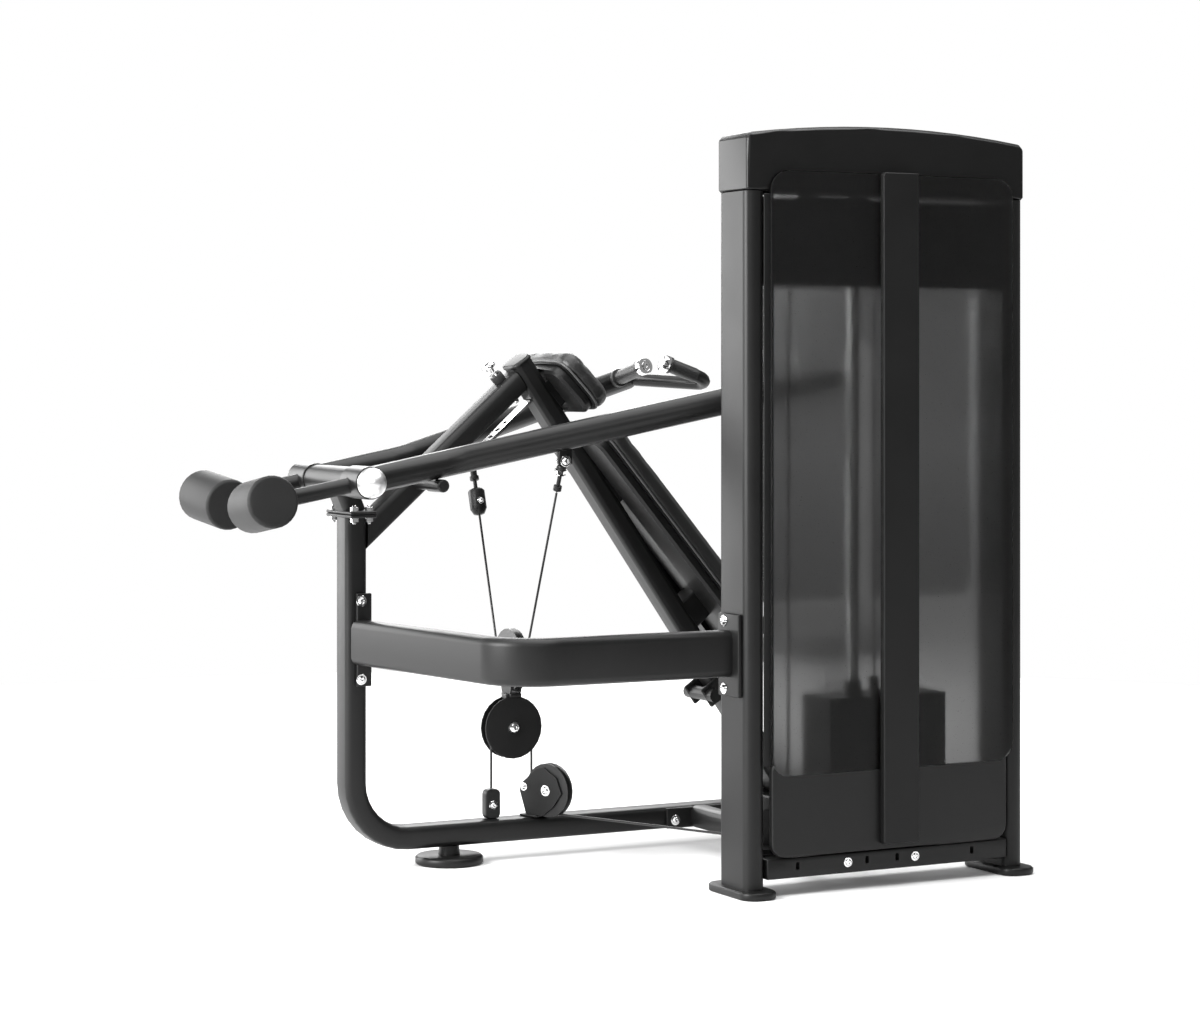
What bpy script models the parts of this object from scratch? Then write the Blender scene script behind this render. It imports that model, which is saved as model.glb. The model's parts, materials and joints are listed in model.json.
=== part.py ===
"""Selectorised incline chest press, in metres.

+X is the way the user faces, +Y points away from the weight tower, +Z is up and the floor is Z = 0.
Everything is laid out from the tower's outer rear corner; the last step moves the machine so that
the middle of its footprint is the origin.
"""

import math
from collections import namedtuple

import bpy
import bmesh
from mathutils import Matrix, Vector

# ---- driving dimensions -------------------------------------------------------------------------

GAP = 0.0003  # between pieces that touch

# frame
MID_Y = 0.690  # machine's centre plane
TUBE_H = 0.050  # frame tube, in the plane it bends in
TUBE_W = 0.068  # frame tube, across that plane
TUBE_R = 0.013  # its corner radius
POST_X = -0.582
BASE_Z = 0.066
POST_BEND = 0.125
BASE_SPLIT_X = 0.400
BASE_FRONT_X = 0.790
FLANGE_Z = 0.773
FLANGE_T = 0.007

# arms
PIVOT = Vector((-0.619, MID_Y, 0.845))
ARM_R = 0.0290
ARM_OUT = 0.1434  # arm's distance from the centre plane at the pivot
ARM_RISE = 0.193  # rise per metre of run, behind the bend
ARM_BEND_X = -0.402
ARM_SPLAY = math.radians(24.0)
ARM_RISE_FRONT = 0.222
ARM_END_X = 0.352
SLEEVE_R = 0.035
SLEEVE_IN = 0.105
SLEEVE_OUT = 0.195
WEIGHT_R = 0.055
WEIGHT_LEN = 0.154
WEIGHT_BACK = 0.221
EYE_X = -0.187  # where the cable link hangs on the arm
LINK_PIVOT = 0.024  # its hinge, down the cable's line from the arm
LINK_TOP = 0.0345

# incline brace, rail and pads
BRACE_FOOT = Vector((-0.530, 0, 0.754))
BRACE_ANGLE = math.radians(41.6)
RAIL_TOP = Vector((-0.182, 0, 1.0974))
RAIL_ANGLE = math.radians(55.1)
PAD_ANGLE = math.radians(49.5)
PAD_WIDTH = 0.300
HEADREST_LEN = 0.156
BACK_PAD_LEN = 0.660
PAD_T = 0.048
COVER_T = 0.022  # moulded back cover, behind the pad
CHANNEL_W = 0.088  # its central channel
CHANNEL_DEPTH = 0.012
PAD_STEP = 0.033  # back pad lies this much deeper than the headrest
PAD_SPLIT = 0.014  # clear space between the two

# seat
SEAT_X = 0.645
SLEEVE_TOP = 0.330
SEAT_BASE_Z = 0.4043
SEAT_SIZE = (0.350, 0.320)
SEAT_T = 0.062

# mid brace
MID_TUBE_H = 0.096
MID_TUBE_W = 0.050
MID_TUBE_Z = 0.498

# cable drive
CABLE_R = 0.0028
BLOCK_X = -0.198
EQUALISER_Z = 0.440
EQUALISER_R = 0.062
FLOAT_Z = 0.291
FLOAT_GROOVE_R = 0.0497
CHEEK_R = 0.0695
FIXED_Z = 0.152
FLOOR_CABLE_Z = 0.1005
TOWER_RUN = Vector((0.135, 0.060, 0))
TOWER_PULLEY_R = 0.040
TOP_PULLEY_R = 0.045
TOP_PULLEY_Z = 1.395

# tower
TOWER_W = 0.6934
TOWER_D = 0.120
COLUMN_W = 0.047
COLUMN_TOP = 1.4475
CAP_SEAM_Z = 1.448
CAP_CORNER_Z = 1.568
CAP_CROWN_Z = 1.590
WINDOW_X = (0.053, 0.656)
WINDOW_Z = (0.2475, 1.490)
PANEL_Y = -0.010
PANEL_T = 0.005
PANEL_LOW_Z = 0.0805
STRIP_X = 0.361
STRIP_SIZE = (0.089, 1.402, 0.016)
FOOT_PLATE = (0.082, 0.184, 0.016)
BAR_Z = 0.057
HEAD_Z = (1.256, 1.4425)
STACK_X = 0.347
STACK_Y = 0.060
STACK_W = 0.290
STACK_D = 0.108
PLATE_PITCH = 0.0245
STACK_BOTTOM_Z = 0.105
RESTING_PLATES = 8
LIFTED_PLATES = 4
ROD_OFFSET = 0.052
ROD_R = 0.0125

# ---- materials and collections ------------------------------------------------------------------

for old in list(bpy.data.objects):
    bpy.data.objects.remove(old, do_unlink=True)

MACHINE = bpy.data.collections.new("incline_chest_press")
HELPERS = bpy.data.collections.new("helpers")
bpy.context.scene.collection.children.link(MACHINE)
bpy.context.scene.collection.children.link(HELPERS)
HELPERS.hide_render = True

LOOKS = {
    "frame_paint": ((0.030, 0.031, 0.033, 1), 0.0, 0.42),
    "tower_paint": ((0.040, 0.041, 0.043, 1), 0.0, 0.50),
    "chrome": ((0.80, 0.81, 0.82, 1), 1.0, 0.12),
    "steel": ((0.52, 0.53, 0.54, 1), 1.0, 0.32),
    "rubber": ((0.018, 0.018, 0.019, 1), 0.0, 0.75),
    "vinyl": ((0.022, 0.022, 0.024, 1), 0.0, 0.55),
    "plastic": ((0.025, 0.025, 0.027, 1), 0.0, 0.45),
    "smoked": ((0.060, 0.062, 0.066, 0.6), 0.0, 0.30),
    "iron": ((0.045, 0.046, 0.050, 1), 0.2, 0.55),
    "cable": ((0.040, 0.040, 0.042, 1), 0.0, 0.40),
}


def look(kind, name):
    colour, metal, rough = LOOKS[kind]
    made = bpy.data.materials.new(name)
    made.use_nodes = True
    shader = made.node_tree.nodes["Principled BSDF"]
    shader.inputs["Base Color"].default_value = colour
    shader.inputs["Metallic"].default_value = metal
    shader.inputs["Roughness"].default_value = rough
    made.diffuse_color = colour
    return made


def add(name, bm, kind=None):
    """An object from a bmesh: a node if it has a look, else a helper."""
    bm.normal_update()
    bmesh.ops.recalc_face_normals(bm, faces=bm.faces)
    mesh = bpy.data.meshes.new(name)
    bm.to_mesh(mesh)
    bm.free()
    made = bpy.data.objects.new(name, mesh)
    if kind:
        MACHINE.objects.link(made)
        mesh.materials.append(look(kind, name))
    else:
        HELPERS.objects.link(made)
        made.hide_render = True
        made.display_type = "WIRE"
    return made


def boolean(target, other, operation):
    change = target.modifiers.new(f"{operation.lower()} {other.name}", "BOOLEAN")
    change.object = other
    change.operation = operation
    change.solver = "EXACT"
    return target


def fuse(target, *others):
    for other in others:
        boolean(target, other, "UNION")
    return target


def cut(target, *others):
    for other in others:
        boolean(target, other, "DIFFERENCE")
    return target


# ---- shapes -------------------------------------------------------------------------------------


def rounded_rect(width, height, radius, steps=2):
    """Outline of a rounded rectangle, anticlockwise about its middle."""
    points = []
    for k, (sx, sy) in enumerate(((1, 1), (-1, 1), (-1, -1), (1, -1))):
        cx, cy = sx * (width / 2 - radius), sy * (height / 2 - radius)
        for i in range(steps + 1):
            a = math.pi / 2 * (k + i / steps)
            points.append((cx + radius * math.cos(a), cy + radius * math.sin(a)))
    return points


def circle(radius, steps=20):
    turn = 2 * math.pi / steps
    return [(radius * math.cos(turn * i), radius * math.sin(turn * i)) for i in range(steps)]


def rounded_path(points, radii, steps=6):
    """A polyline with an arc at each inner corner."""
    points = [Vector(p) for p in points]
    path = [points[0]]
    for before, corner, after, radius in zip(points, points[1:], points[2:], radii):
        back, on = (before - corner).normalized(), (after - corner).normalized()
        half = back.angle(on) / 2
        centre = corner + (back + on).normalized() * (radius / math.sin(half))
        start = corner + back * (radius / math.tan(half)) - centre
        end = corner + on * (radius / math.tan(half)) - centre
        turn = start.angle(end)
        for i in range(steps + 1):
            t = i / steps
            mixed = start * math.sin((1 - t) * turn) + end * math.sin(t * turn)
            path.append(centre + mixed / math.sin(turn))
    path.append(points[-1])
    return path


def sweep(name, outline, path, side, kind=None):
    """Carries an outline along a path, its first axis kept as near to `side` as it can be."""
    bm = bmesh.new()
    rings = []
    path = [Vector(p) for p in path]
    side = Vector(side)
    for i, point in enumerate(path):
        before = (point - path[i - 1]).normalized() if i else (path[1] - point).normalized()
        after = (path[i + 1] - point).normalized() if i + 1 < len(path) else before
        along = (before + after).normalized()
        across = (side - along * side.dot(along)).normalized()
        up = along.cross(across)
        bend = (after - before)
        stretch = 1 / max(0.2, along.dot(after))
        bend_dir = bend.normalized() if bend.length > 1e-6 else None
        ring = []
        for u, v in outline:
            offset = across * u + up * v
            if bend_dir is not None:
                offset += bend_dir * offset.dot(bend_dir) * (stretch - 1)
            ring.append(bm.verts.new(point + offset))
        rings.append(ring)
    count = len(outline)
    for first, second in zip(rings, rings[1:]):
        for i in range(count):
            j = (i + 1) % count
            bm.faces.new((first[i], first[j], second[j], second[i]))
    bm.faces.new(list(reversed(rings[0])))
    bm.faces.new(rings[-1])
    return add(name, bm, kind)


def turned(name, profile, base, axis, kind=None, steps=20):
    """A profile of (along, radius) pairs turned about `axis` through `base`."""
    base, axis = Vector(base), Vector(axis).normalized()
    across = axis.orthogonal().normalized()
    bm = bmesh.new()
    line = [bm.verts.new(base + axis * along + across * radius) for along, radius in profile]
    edges = [bm.edges.new(pair) for pair in zip(line, line[1:])]
    bmesh.ops.spin(bm, geom=line + edges, cent=base, axis=axis, angle=2 * math.pi, steps=steps)
    bmesh.ops.remove_doubles(bm, verts=bm.verts, dist=1e-6)
    bmesh.ops.holes_fill(bm, edges=[edge for edge in bm.edges if edge.is_boundary])
    return add(name, bm, kind)


def rod(name, start, end, radius, kind=None, steps=16, chamfer=0.0):
    """A round bar between two points."""
    start, end = Vector(start), Vector(end)
    length = (end - start).length
    if chamfer:
        profile = [(0, radius - chamfer), (chamfer, radius)]
        profile += [(length - chamfer, radius), (length, radius - chamfer)]
    else:
        profile = [(0, radius), (length, radius)]
    return turned(name, profile, start, end - start, kind, steps)


def slab(name, outline, thickness, place, kind=None, bevel=0.0):
    """A flat outline made `thickness` thick, from its local Z = 0 upwards."""
    bm = bmesh.new()
    face = bm.faces.new([bm.verts.new((x, y, 0)) for x, y in outline])
    raised = bmesh.ops.extrude_face_region(bm, geom=[face])["geom"]
    top = [vert for vert in raised if isinstance(vert, bmesh.types.BMVert)]
    bmesh.ops.translate(bm, verts=top, vec=(0, 0, thickness))
    bm.transform(place)
    made = add(name, bm, kind)
    if bevel:
        soften(made, bevel)
    return made


def soften(target, width, segments=1, angle=40):
    bevel = target.modifiers.new("edges", "BEVEL")
    bevel.width = width
    bevel.segments = segments
    bevel.limit_method = "ANGLE"
    bevel.angle_limit = math.radians(angle)
    return target


def block(name, size, centre, kind=None, bevel=0.0, turn=None):
    """A box, turned about its own middle."""
    bm = bmesh.new()
    bmesh.ops.create_cube(bm, size=1)
    place = Matrix.Translation(Vector(centre)) @ (turn or Matrix()) @ Matrix.Diagonal((*size, 1))
    bmesh.ops.transform(bm, matrix=place, verts=bm.verts)
    made = add(name, bm, kind)
    if bevel:
        soften(made, bevel)
    return made


def frame_at(origin, x_axis, z_axis):
    """A placing matrix from an origin, a local X and a local Z."""
    x_axis, z_axis = Vector(x_axis).normalized(), Vector(z_axis).normalized()
    y_axis = z_axis.cross(x_axis)
    turn = Matrix((x_axis, y_axis, z_axis)).transposed().to_4x4()
    return Matrix.Translation(Vector(origin)) @ turn


def pulley(name, centre, axis, groove_r, width, kind):
    """A grooved wheel."""
    rim = groove_r + 0.008
    half = width / 2
    profile = [
        (-half, 0.0),
        (-half, rim),
        (-half + 0.002, rim),
        (-0.003, groove_r - 0.0032),
        (0.003, groove_r - 0.0032),
        (half - 0.002, rim),
        (half, rim),
        (half, 0.0),
    ]
    return turned(name, profile, centre, axis, kind, 24)


def mid(x, z, y=0.0):
    """A point on, or `y` from, the machine's centre plane."""
    return Vector((x, MID_Y + y, z))


X, Y, Z = Vector((1, 0, 0)), Vector((0, 1, 0)), Vector((0, 0, 1))
TUBE = rounded_rect(TUBE_W, TUBE_H, TUBE_R)

# ---- rear post and base -------------------------------------------------------------------------

base_rear = BASE_SPLIT_X - 0.0105
post_top = FLANGE_Z - GAP / 2
rear_path = rounded_path(
    [mid(base_rear, BASE_Z), mid(POST_X, BASE_Z), mid(POST_X, post_top - 0.004)],
    [POST_BEND],
    8,
)
rear_frame = sweep("rear_frame", TUBE, rear_path, Y, "frame_paint")
post_flange = block(
    "post flange",
    (0.060, 0.140, FLANGE_T),
    (POST_X, MID_Y, post_top - FLANGE_T / 2),
    bevel=0.002,
)
base_plate = block(
    "base joint plate", (0.010, 0.100, 0.076), mid(base_rear + 0.0045, BASE_Z), bevel=0.002
)
fuse(rear_frame, post_flange, base_plate)

turned(
    "rear_foot",
    [
        (0.0, 0.0),
        (0.0, 0.071),
        (0.004, 0.075),
        (0.015, 0.075),
        (0.020, 0.070),
        (0.020, 0.024),
        (0.0405 - GAP, 0.022),
        (0.0405 - GAP, 0.0),
    ],
    mid(-0.350, 0),
    Z,
    "rubber",
    24,
)

front_path = [mid(BASE_SPLIT_X + 0.010, BASE_Z), mid(BASE_FRONT_X, BASE_Z)]
base_front = sweep("base_front", TUBE, front_path, Y, "frame_paint")
front_plate = block(
    "front joint plate",
    (0.010, 0.100, 0.076),
    mid(BASE_SPLIT_X + 0.0053, BASE_Z),
    bevel=0.002,
)
front_bar = sweep(
    "front cross bar",
    rounded_rect(0.050, 0.050, TUBE_R),
    [mid(BASE_FRONT_X, BASE_Z, -0.260), mid(BASE_FRONT_X, BASE_Z, 0.260)],
    X,
)
fuse(base_front, front_plate, front_bar)
for side in (-1, 1):
    glide = turned(
        f"front glide {side}",
        [(0, 0), (0, 0.030), (0.004, 0.033), (0.020, 0.033), (0.042, 0.020), (0.050, 0)],
        mid(BASE_FRONT_X, 0, side * 0.225),
        Z,
        steps=16,
    )
    fuse(base_front, glide)

link_x = 0.262
link_plate_y = MID_Y - TUBE_W / 2 - GAP - 0.004
base_link = sweep(
    "base_link",
    rounded_rect(0.050, 0.050, TUBE_R),
    [(link_x, link_plate_y, BASE_Z), (link_x, 0.140, BASE_Z)],
    X,
    "frame_paint",
)
fuse(
    base_link,
    block("link plate", (0.150, 0.008, 0.046), (0.250, link_plate_y, BASE_Z), bevel=0.0015),
    block("tower plate", (0.130, 0.008, 0.052), (link_x, 0.137, BASE_Z), bevel=0.0015),
)

# ---- mid brace ----------------------------------------------------------------------------------

brace_start = Vector((-0.578, MID_Y - TUBE_W / 2 - 0.0105, MID_TUBE_Z))
brace_corner = Vector((-0.495, 0.065, MID_TUBE_Z))
brace_end = Vector((-0.0095, 0.065, MID_TUBE_Z))
mid_brace = sweep(
    "mid_brace",
    rounded_rect(MID_TUBE_H, MID_TUBE_W, 0.016),
    rounded_path([brace_start, brace_corner, brace_end], [0.105], 8),
    Z,
    "frame_paint",
)
rear_plate = block(
    "rear plate",
    (0.034, 0.010, 0.200),
    (-0.570, MID_Y - TUBE_W / 2 - 0.0053, 0.503),
    bevel=0.002,
)
side_plate = block(
    "side plate", (0.010, 0.082, 0.170), (-0.0053, 0.059, 0.495), bevel=0.002
)
fuse(mid_brace, rear_plate, side_plate)

# ---- pivot head ---------------------------------------------------------------------------------

head_flange_z = FLANGE_Z + FLANGE_T / 2 + GAP / 2
pivot_head = block(
    "pivot_head",
    (0.060, 0.140, FLANGE_T),
    (POST_X, MID_Y, head_flange_z),
    "frame_paint",
    bevel=0.002,
)
head_stub = sweep(
    "head stub",
    TUBE,
    [mid(POST_X, FLANGE_Z + 0.002), mid(PIVOT.x + 0.010, PIVOT.z - 0.005)],
    Y,
)
housing = rod(
    "housing",
    PIVOT - Y * (SLEEVE_IN - 0.0005),
    PIVOT + Y * (SLEEVE_IN - 0.0005),
    0.032,
    steps=20,
)
fuse(pivot_head, head_stub, housing)
cut(pivot_head, block("under flange", (0.2, 0.2, 0.1), (POST_X, MID_Y, FLANGE_Z + GAP / 2 - 0.05)))

# ---- incline brace, rail and bumpers ------------------------------------------------------------

brace_dir = Vector((math.cos(BRACE_ANGLE), 0, math.sin(BRACE_ANGLE)))
rail_dir = Vector((math.cos(RAIL_ANGLE), 0, -math.sin(RAIL_ANGLE)))
rail_up = Vector((math.sin(RAIL_ANGLE), 0, math.cos(RAIL_ANGLE)))
rail_top = mid(RAIL_TOP.x, RAIL_TOP.z)
brace_foot = mid(BRACE_FOOT.x, BRACE_FOOT.z)

# where the brace's centre line meets the rail's rear face
gap_to_face = (rail_top - rail_up * (TUBE_H / 2 + GAP) - brace_foot).dot(rail_up)
brace_end = brace_foot + brace_dir * (gap_to_face / brace_dir.dot(rail_up))
incline_brace = sweep(
    "incline_brace",
    TUBE,
    [brace_foot - brace_dir * 0.060, brace_end + brace_dir * 0.060],
    Y,
    "frame_paint",
)
cut(
    incline_brace,
    block("post side", (0.2, 0.2, 0.4), (POST_X + TUBE_H / 2 + GAP - 0.1, MID_Y, 0.72)),
    block("flange side", (0.1, 0.2, 0.1), (POST_X - 0.0195, MID_Y, 0.8013)),
    slab(
        "rail side",
        rounded_rect(0.4, 0.2, 0.01),
        0.2,
        frame_at(rail_top - rail_up * (TUBE_H / 2 + GAP), rail_dir, rail_up),
    ),
)

bumper_x = -0.441
arm_slope = math.atan(ARM_RISE)
arm_z_here = PIVOT.z + ARM_RISE * (bumper_x - PIVOT.x)
bumper_r = 0.014
bumper_z = arm_z_here - (ARM_R + bumper_r + GAP) / math.cos(arm_slope)
cross_rod = rod(
    "cross rod", mid(bumper_x, bumper_z, -0.102), mid(bumper_x, bumper_z, 0.102), 0.011
)
bumpers = [
    rod(
        f"bumper {side}",
        mid(bumper_x, bumper_z, side * 0.100),
        mid(bumper_x, bumper_z, side * 0.171),
        bumper_r,
        steps=16,
        chamfer=0.0025,
    )
    for side in (-1, 1)
]
fuse(incline_brace, cross_rod, *bumpers)

rail_floor = mid(0, BASE_Z + TUBE_H / 2 + GAP)
rail_length = (rail_top.z - rail_floor.z) / math.sin(RAIL_ANGLE)
pad_rail = sweep(
    "pad_rail",
    TUBE,
    [rail_top - rail_dir * 0.004, rail_top + rail_dir * (rail_length - 0.045)],
    Y,
    "frame_paint",
)
rail_cap = slab(
    "rail cap",
    rounded_rect(TUBE_W + 0.006, TUBE_H + 0.006, 0.018),
    0.012,
    frame_at(rail_top + rail_dir * 0.001, Y, -rail_dir),
    bevel=0.004,
)
roller_at = rail_top + rail_dir * 0.891 - rail_up * 0.044
roller = rod("roller", roller_at - Y * 0.062, roller_at + Y * 0.062, 0.016, steps=16)
roller_ears = [
    block(
        f"roller ear {k}",
        (0.050, 0.008, 0.062),
        roller_at + rail_up * 0.015 + Y * k * 0.038,
        bevel=0.003,
        turn=Matrix.Rotation(RAIL_ANGLE, 4, "Y"),
    )
    for k in (-1, 1)
]
fuse(pad_rail, rail_cap, roller, *roller_ears)

# ---- arms ---------------------------------------------------------------------------------------

Link = namedtuple("Link", "top pull pivot")


def arm_point(x, side):
    """A point on an arm's centre line at this X."""
    run = x - ARM_BEND_X
    out = ARM_OUT + max(0.0, run) * math.tan(ARM_SPLAY)
    z = PIVOT.z + ARM_RISE * (min(x, ARM_BEND_X) - PIVOT.x)
    z += max(0.0, run) / math.cos(ARM_SPLAY) * ARM_RISE_FRONT
    return Vector((x, MID_Y + side * out, z))


def arm_side(side, suffix):
    """One press arm with its handles, counterweight, end cap and cable link."""
    root = arm_point(PIVOT.x, side)
    bend = arm_point(ARM_BEND_X, side)
    tip = arm_point(ARM_END_X, side)
    arm = sweep(
        f"press_arm_{suffix}",
        circle(ARM_R, 18),
        rounded_path([root, bend, tip], [0.14], 5),
        Z,
        "frame_paint",
    )
    sleeve = rod(
        f"sleeve {suffix}",
        PIVOT + Y * side * SLEEVE_IN,
        PIVOT + Y * side * SLEEVE_OUT,
        SLEEVE_R,
        steps=20,
        chamfer=0.0015,
    )
    weight_at = Vector(
        (PIVOT.x - WEIGHT_BACK, MID_Y + side * (ARM_OUT - 0.003), PIVOT.z - WEIGHT_BACK * ARM_RISE)
    )
    stub_dir = (weight_at - root).normalized()
    stub = rod(
        f"stub {suffix}", root, weight_at - stub_dir * WEIGHT_R, 0.0175, steps=14
    )
    fuse(arm, sleeve, stub)

    tilt, yaw = math.radians(6.5), math.radians(4.0)
    roll = Vector(
        (
            -math.cos(tilt) * math.sin(yaw),
            side * math.cos(tilt) * math.cos(yaw),
            math.sin(tilt),
        )
    )
    half = WEIGHT_LEN / 2
    weight = turned(
        f"counterweight_{suffix}",
        [
            (-half, 0),
            (-half, WEIGHT_R - 0.007),
            (-half + 0.002, WEIGHT_R - 0.002),
            (-half + 0.007, WEIGHT_R),
            (half - 0.007, WEIGHT_R),
            (half - 0.002, WEIGHT_R - 0.002),
            (half, WEIGHT_R - 0.007),
            (half, 0),
        ],
        weight_at,
        roll,
        "rubber",
        28,
    )
    cut(
        weight,
        rod(
            f"stub room {suffix}",
            root,
            weight_at - stub_dir * (WEIGHT_R - GAP - 0.001),
            0.0178,
            steps=14,
        ),
    )

    dome = [(0, 0), (0, 0.0325)]
    dome += [
        (0.0325 * math.sin(a), 0.0325 * math.cos(a))
        for a in (math.radians(d) for d in (15, 30, 45, 60, 75))
    ]
    turned(
        f"pivot_cap_{suffix}",
        dome + [(0.0325, 0)],
        PIVOT + Y * side * (SLEEVE_OUT + GAP),
        Y * side,
        "chrome",
        20,
    )

    # inner grip: across the machine, from the arm's inner side
    grip_root = arm_point(0.284, side) - Y * side * (ARM_R / math.cos(ARM_SPLAY) + 0.014)
    grip_root += Z * 0.012
    grip_tip = grip_root + Vector((0.006, -side * 0.126, 0.030))
    grip_dir = (grip_tip - grip_root).normalized()
    grip_len = (grip_tip - grip_root).length
    peg = rod(
        f"grip peg {suffix}",
        grip_root - grip_dir * (ARM_R + 0.004),
        grip_root + grip_dir * 0.004,
        0.013,
        steps=16,
    )
    fuse(arm, peg)
    turned(
        f"grip_across_{suffix}",
        [
            (0, 0),
            (0, 0.021),
            (0.005, 0.021),
            (0.007, 0.0175),
            (grip_len - 0.024, 0.0175),
            (grip_len - 0.022, 0.0205),
            (grip_len - 0.003, 0.0205),
            (grip_len, 0.0185),
            (grip_len, 0),
        ],
        grip_root + grip_dir * (0.004 + GAP),
        grip_dir,
        "rubber",
        16,
    )

    # loop: leaves the arm's end inwards, turns back and carries the fore-and-aft grip
    out = tip + (tip - arm_point(0.30, side)).normalized() * 0.001
    loop_start = out - Y * side * 0.006 - Z * 0.004
    elbow = loop_start + Vector((0.140, -side * 0.200, -0.014))
    loop_end = elbow + Vector((-0.158, side * 0.030, 0.060))
    loop_path = rounded_path([loop_start, elbow, loop_end], [0.024], 6)
    last_dir = (loop_path[-1] - loop_path[-2]).normalized()
    loop_path[-1] = loop_path[-2] + last_dir * 0.004
    loop = sweep(f"loop {suffix}", circle(0.0160, 12), loop_path, Z)
    fuse(arm, loop)
    turned(
        f"grip_along_{suffix}",
        [
            (0, 0),
            (0, 0.0165),
            (0.006, 0.0175),
            (0.068, 0.0175),
            (0.070, 0.0205),
            (0.090, 0.0205),
            (0.093, 0.0185),
            (0.093, 0),
        ],
        loop_path[-1] + last_dir * GAP,
        last_dir,
        "rubber",
        16,
    )

    # cable link: threaded eye and clevis under the arm, its cable drawn to the equaliser
    eye = arm_point(EYE_X, side) - Z * (ARM_R / math.cos(ARM_SPLAY) - 0.002)
    target = Vector((BLOCK_X, MID_Y + side * EQUALISER_R, EQUALISER_Z))
    lug = block(f"cable lug {suffix}", (0.034, 0.010, 0.040), eye - Z * 0.010, bevel=0.003)
    fuse(arm, lug)
    pull = (target - eye).normalized()
    top = eye + pull * LINK_TOP
    shape = [(0, 0), (0, 0.009), (0.004, 0.0105), (0.020, 0.0105), (0.022, 0.0045)]
    if side < 0:
        shape += [(0.046, 0.0045), (0.047, 0.009), (0.058, 0.009), (0.059, 0.004), (0.064, 0)]
    else:
        shape = [(0, 0), (0, 0.0075), (0.038, 0.0075), (0.038, 0.0105), (0.047, 0.0105)]
        shape += [(0.049, 0.0045), (0.068, 0.0045), (0.069, 0.014), (0.074, 0.0190)]
        shape += [(0.116, 0.0190), (0.128, 0.013), (0.131, 0.005), (0.132, 0)]
    turned(f"cable_link_{suffix}", shape, top, pull, "plastic", 14)
    return Link(top, pull, eye + pull * LINK_PIVOT)


LINKS = {suffix: arm_side(side, suffix) for side, suffix in ((-1, "near"), (1, "far"))}

# ---- weight tower -------------------------------------------------------------------------------

inner_w = TOWER_W - 2 * COLUMN_W  # between the columns
for side, x in (("left", COLUMN_W / 2), ("right", TOWER_W - COLUMN_W / 2)):
    column = sweep(
        f"tower_column_{side}",
        rounded_rect(COLUMN_W, TOWER_D, 0.020, 4),
        [(x, TOWER_D / 2, 0.0145), (x, TOWER_D / 2, COLUMN_TOP)],
        X,
        "tower_paint",
    )
    foot = slab(
        f"tower foot {side}",
        rounded_rect(FOOT_PLATE[0], FOOT_PLATE[1], 0.034, 5),
        FOOT_PLATE[2],
        Matrix.Translation((x, TOWER_D / 2, 0.0)),
        bevel=0.003,
    )
    fuse(column, foot)

crossbar = block(
    "tower_crossbar",
    (inner_w - 2 * GAP, 0.040, 0.042),
    (TOWER_W / 2, 0.018, BAR_Z),
    "tower_paint",
    bevel=0.003,
)
for k, x in enumerate((0.120, 0.290, 0.365, 0.555)):
    slot = block(f"bar slot {k}", (0.009, 0.1, 0.016), (x, 0.0, 0.060), bevel=0.002)
    cut(crossbar, slot)

# arched cap with the window's rounded top let into its rear face
cap_outline = [(0.0, 0.0), (TOWER_W, 0.0)]
rise = CAP_CORNER_Z - CAP_SEAM_Z
crown = CAP_CROWN_Z - CAP_SEAM_Z
cap_outline += [(TOWER_W, rise - 0.014), (TOWER_W - 0.004, rise - 0.004)]
for k in range(13):
    t = 1 - k / 12
    bow = 1 - (2 * t - 1) ** 2
    cap_outline.append((0.014 + (TOWER_W - 0.028) * t, rise + (crown - rise) * bow))
cap_outline += [(0.004, rise - 0.004), (0.0, rise - 0.014)]
cap = slab(
    "tower_cap",
    cap_outline,
    TOWER_D + 0.002,
    frame_at((0, TOWER_D + 0.001, CAP_SEAM_Z), X, -Y),
    "tower_paint",
    bevel=0.006,
)
notch_w = WINDOW_X[1] - WINDOW_X[0] + 0.003
notch = slab(
    "cap notch",
    rounded_rect(notch_w, 0.200, 0.042, 5),
    0.060,
    frame_at(
        ((WINDOW_X[0] + WINDOW_X[1]) / 2, 0.0105, WINDOW_Z[1] + 0.002 - 0.100), X, -Y
    ),
)
hollow = block(
    "cap hollow", (TOWER_W - 0.060, TOWER_D - 0.024, 0.120), (TOWER_W / 2, 0.062, 1.440)
)
cut(cap, notch, hollow)

# smoked window, lower panel and centre strip on the rear face
window_mid = (WINDOW_X[0] + WINDOW_X[1]) / 2
window = slab(
    "rear_window",
    rounded_rect(WINDOW_X[1] - WINDOW_X[0], WINDOW_Z[1] - WINDOW_Z[0], 0.040, 5),
    PANEL_T,
    frame_at((window_mid, PANEL_Y + PANEL_T, (WINDOW_Z[0] + WINDOW_Z[1]) / 2), X, -Y),
    "smoked",
)
panel_top = WINDOW_Z[0] + 0.040
panel_h = panel_top - PANEL_LOW_Z
lower_panel = slab(
    "lower_panel",
    rounded_rect(inner_w - 0.014, panel_h, 0.030, 4),
    0.014,
    frame_at((TOWER_W / 2, 0.004, PANEL_LOW_Z + panel_h / 2), X, -Y),
    "tower_paint",
    bevel=0.002,
)
window_room = slab(
    "window room",
    rounded_rect(
        WINDOW_X[1] - WINDOW_X[0] + 2 * GAP, WINDOW_Z[1] - WINDOW_Z[0] + 2 * GAP, 0.040, 5
    ),
    0.1,
    frame_at((window_mid, 0.05, (WINDOW_Z[0] + WINDOW_Z[1]) / 2), X, -Y),
)
cut(lower_panel, window_room)

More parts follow.
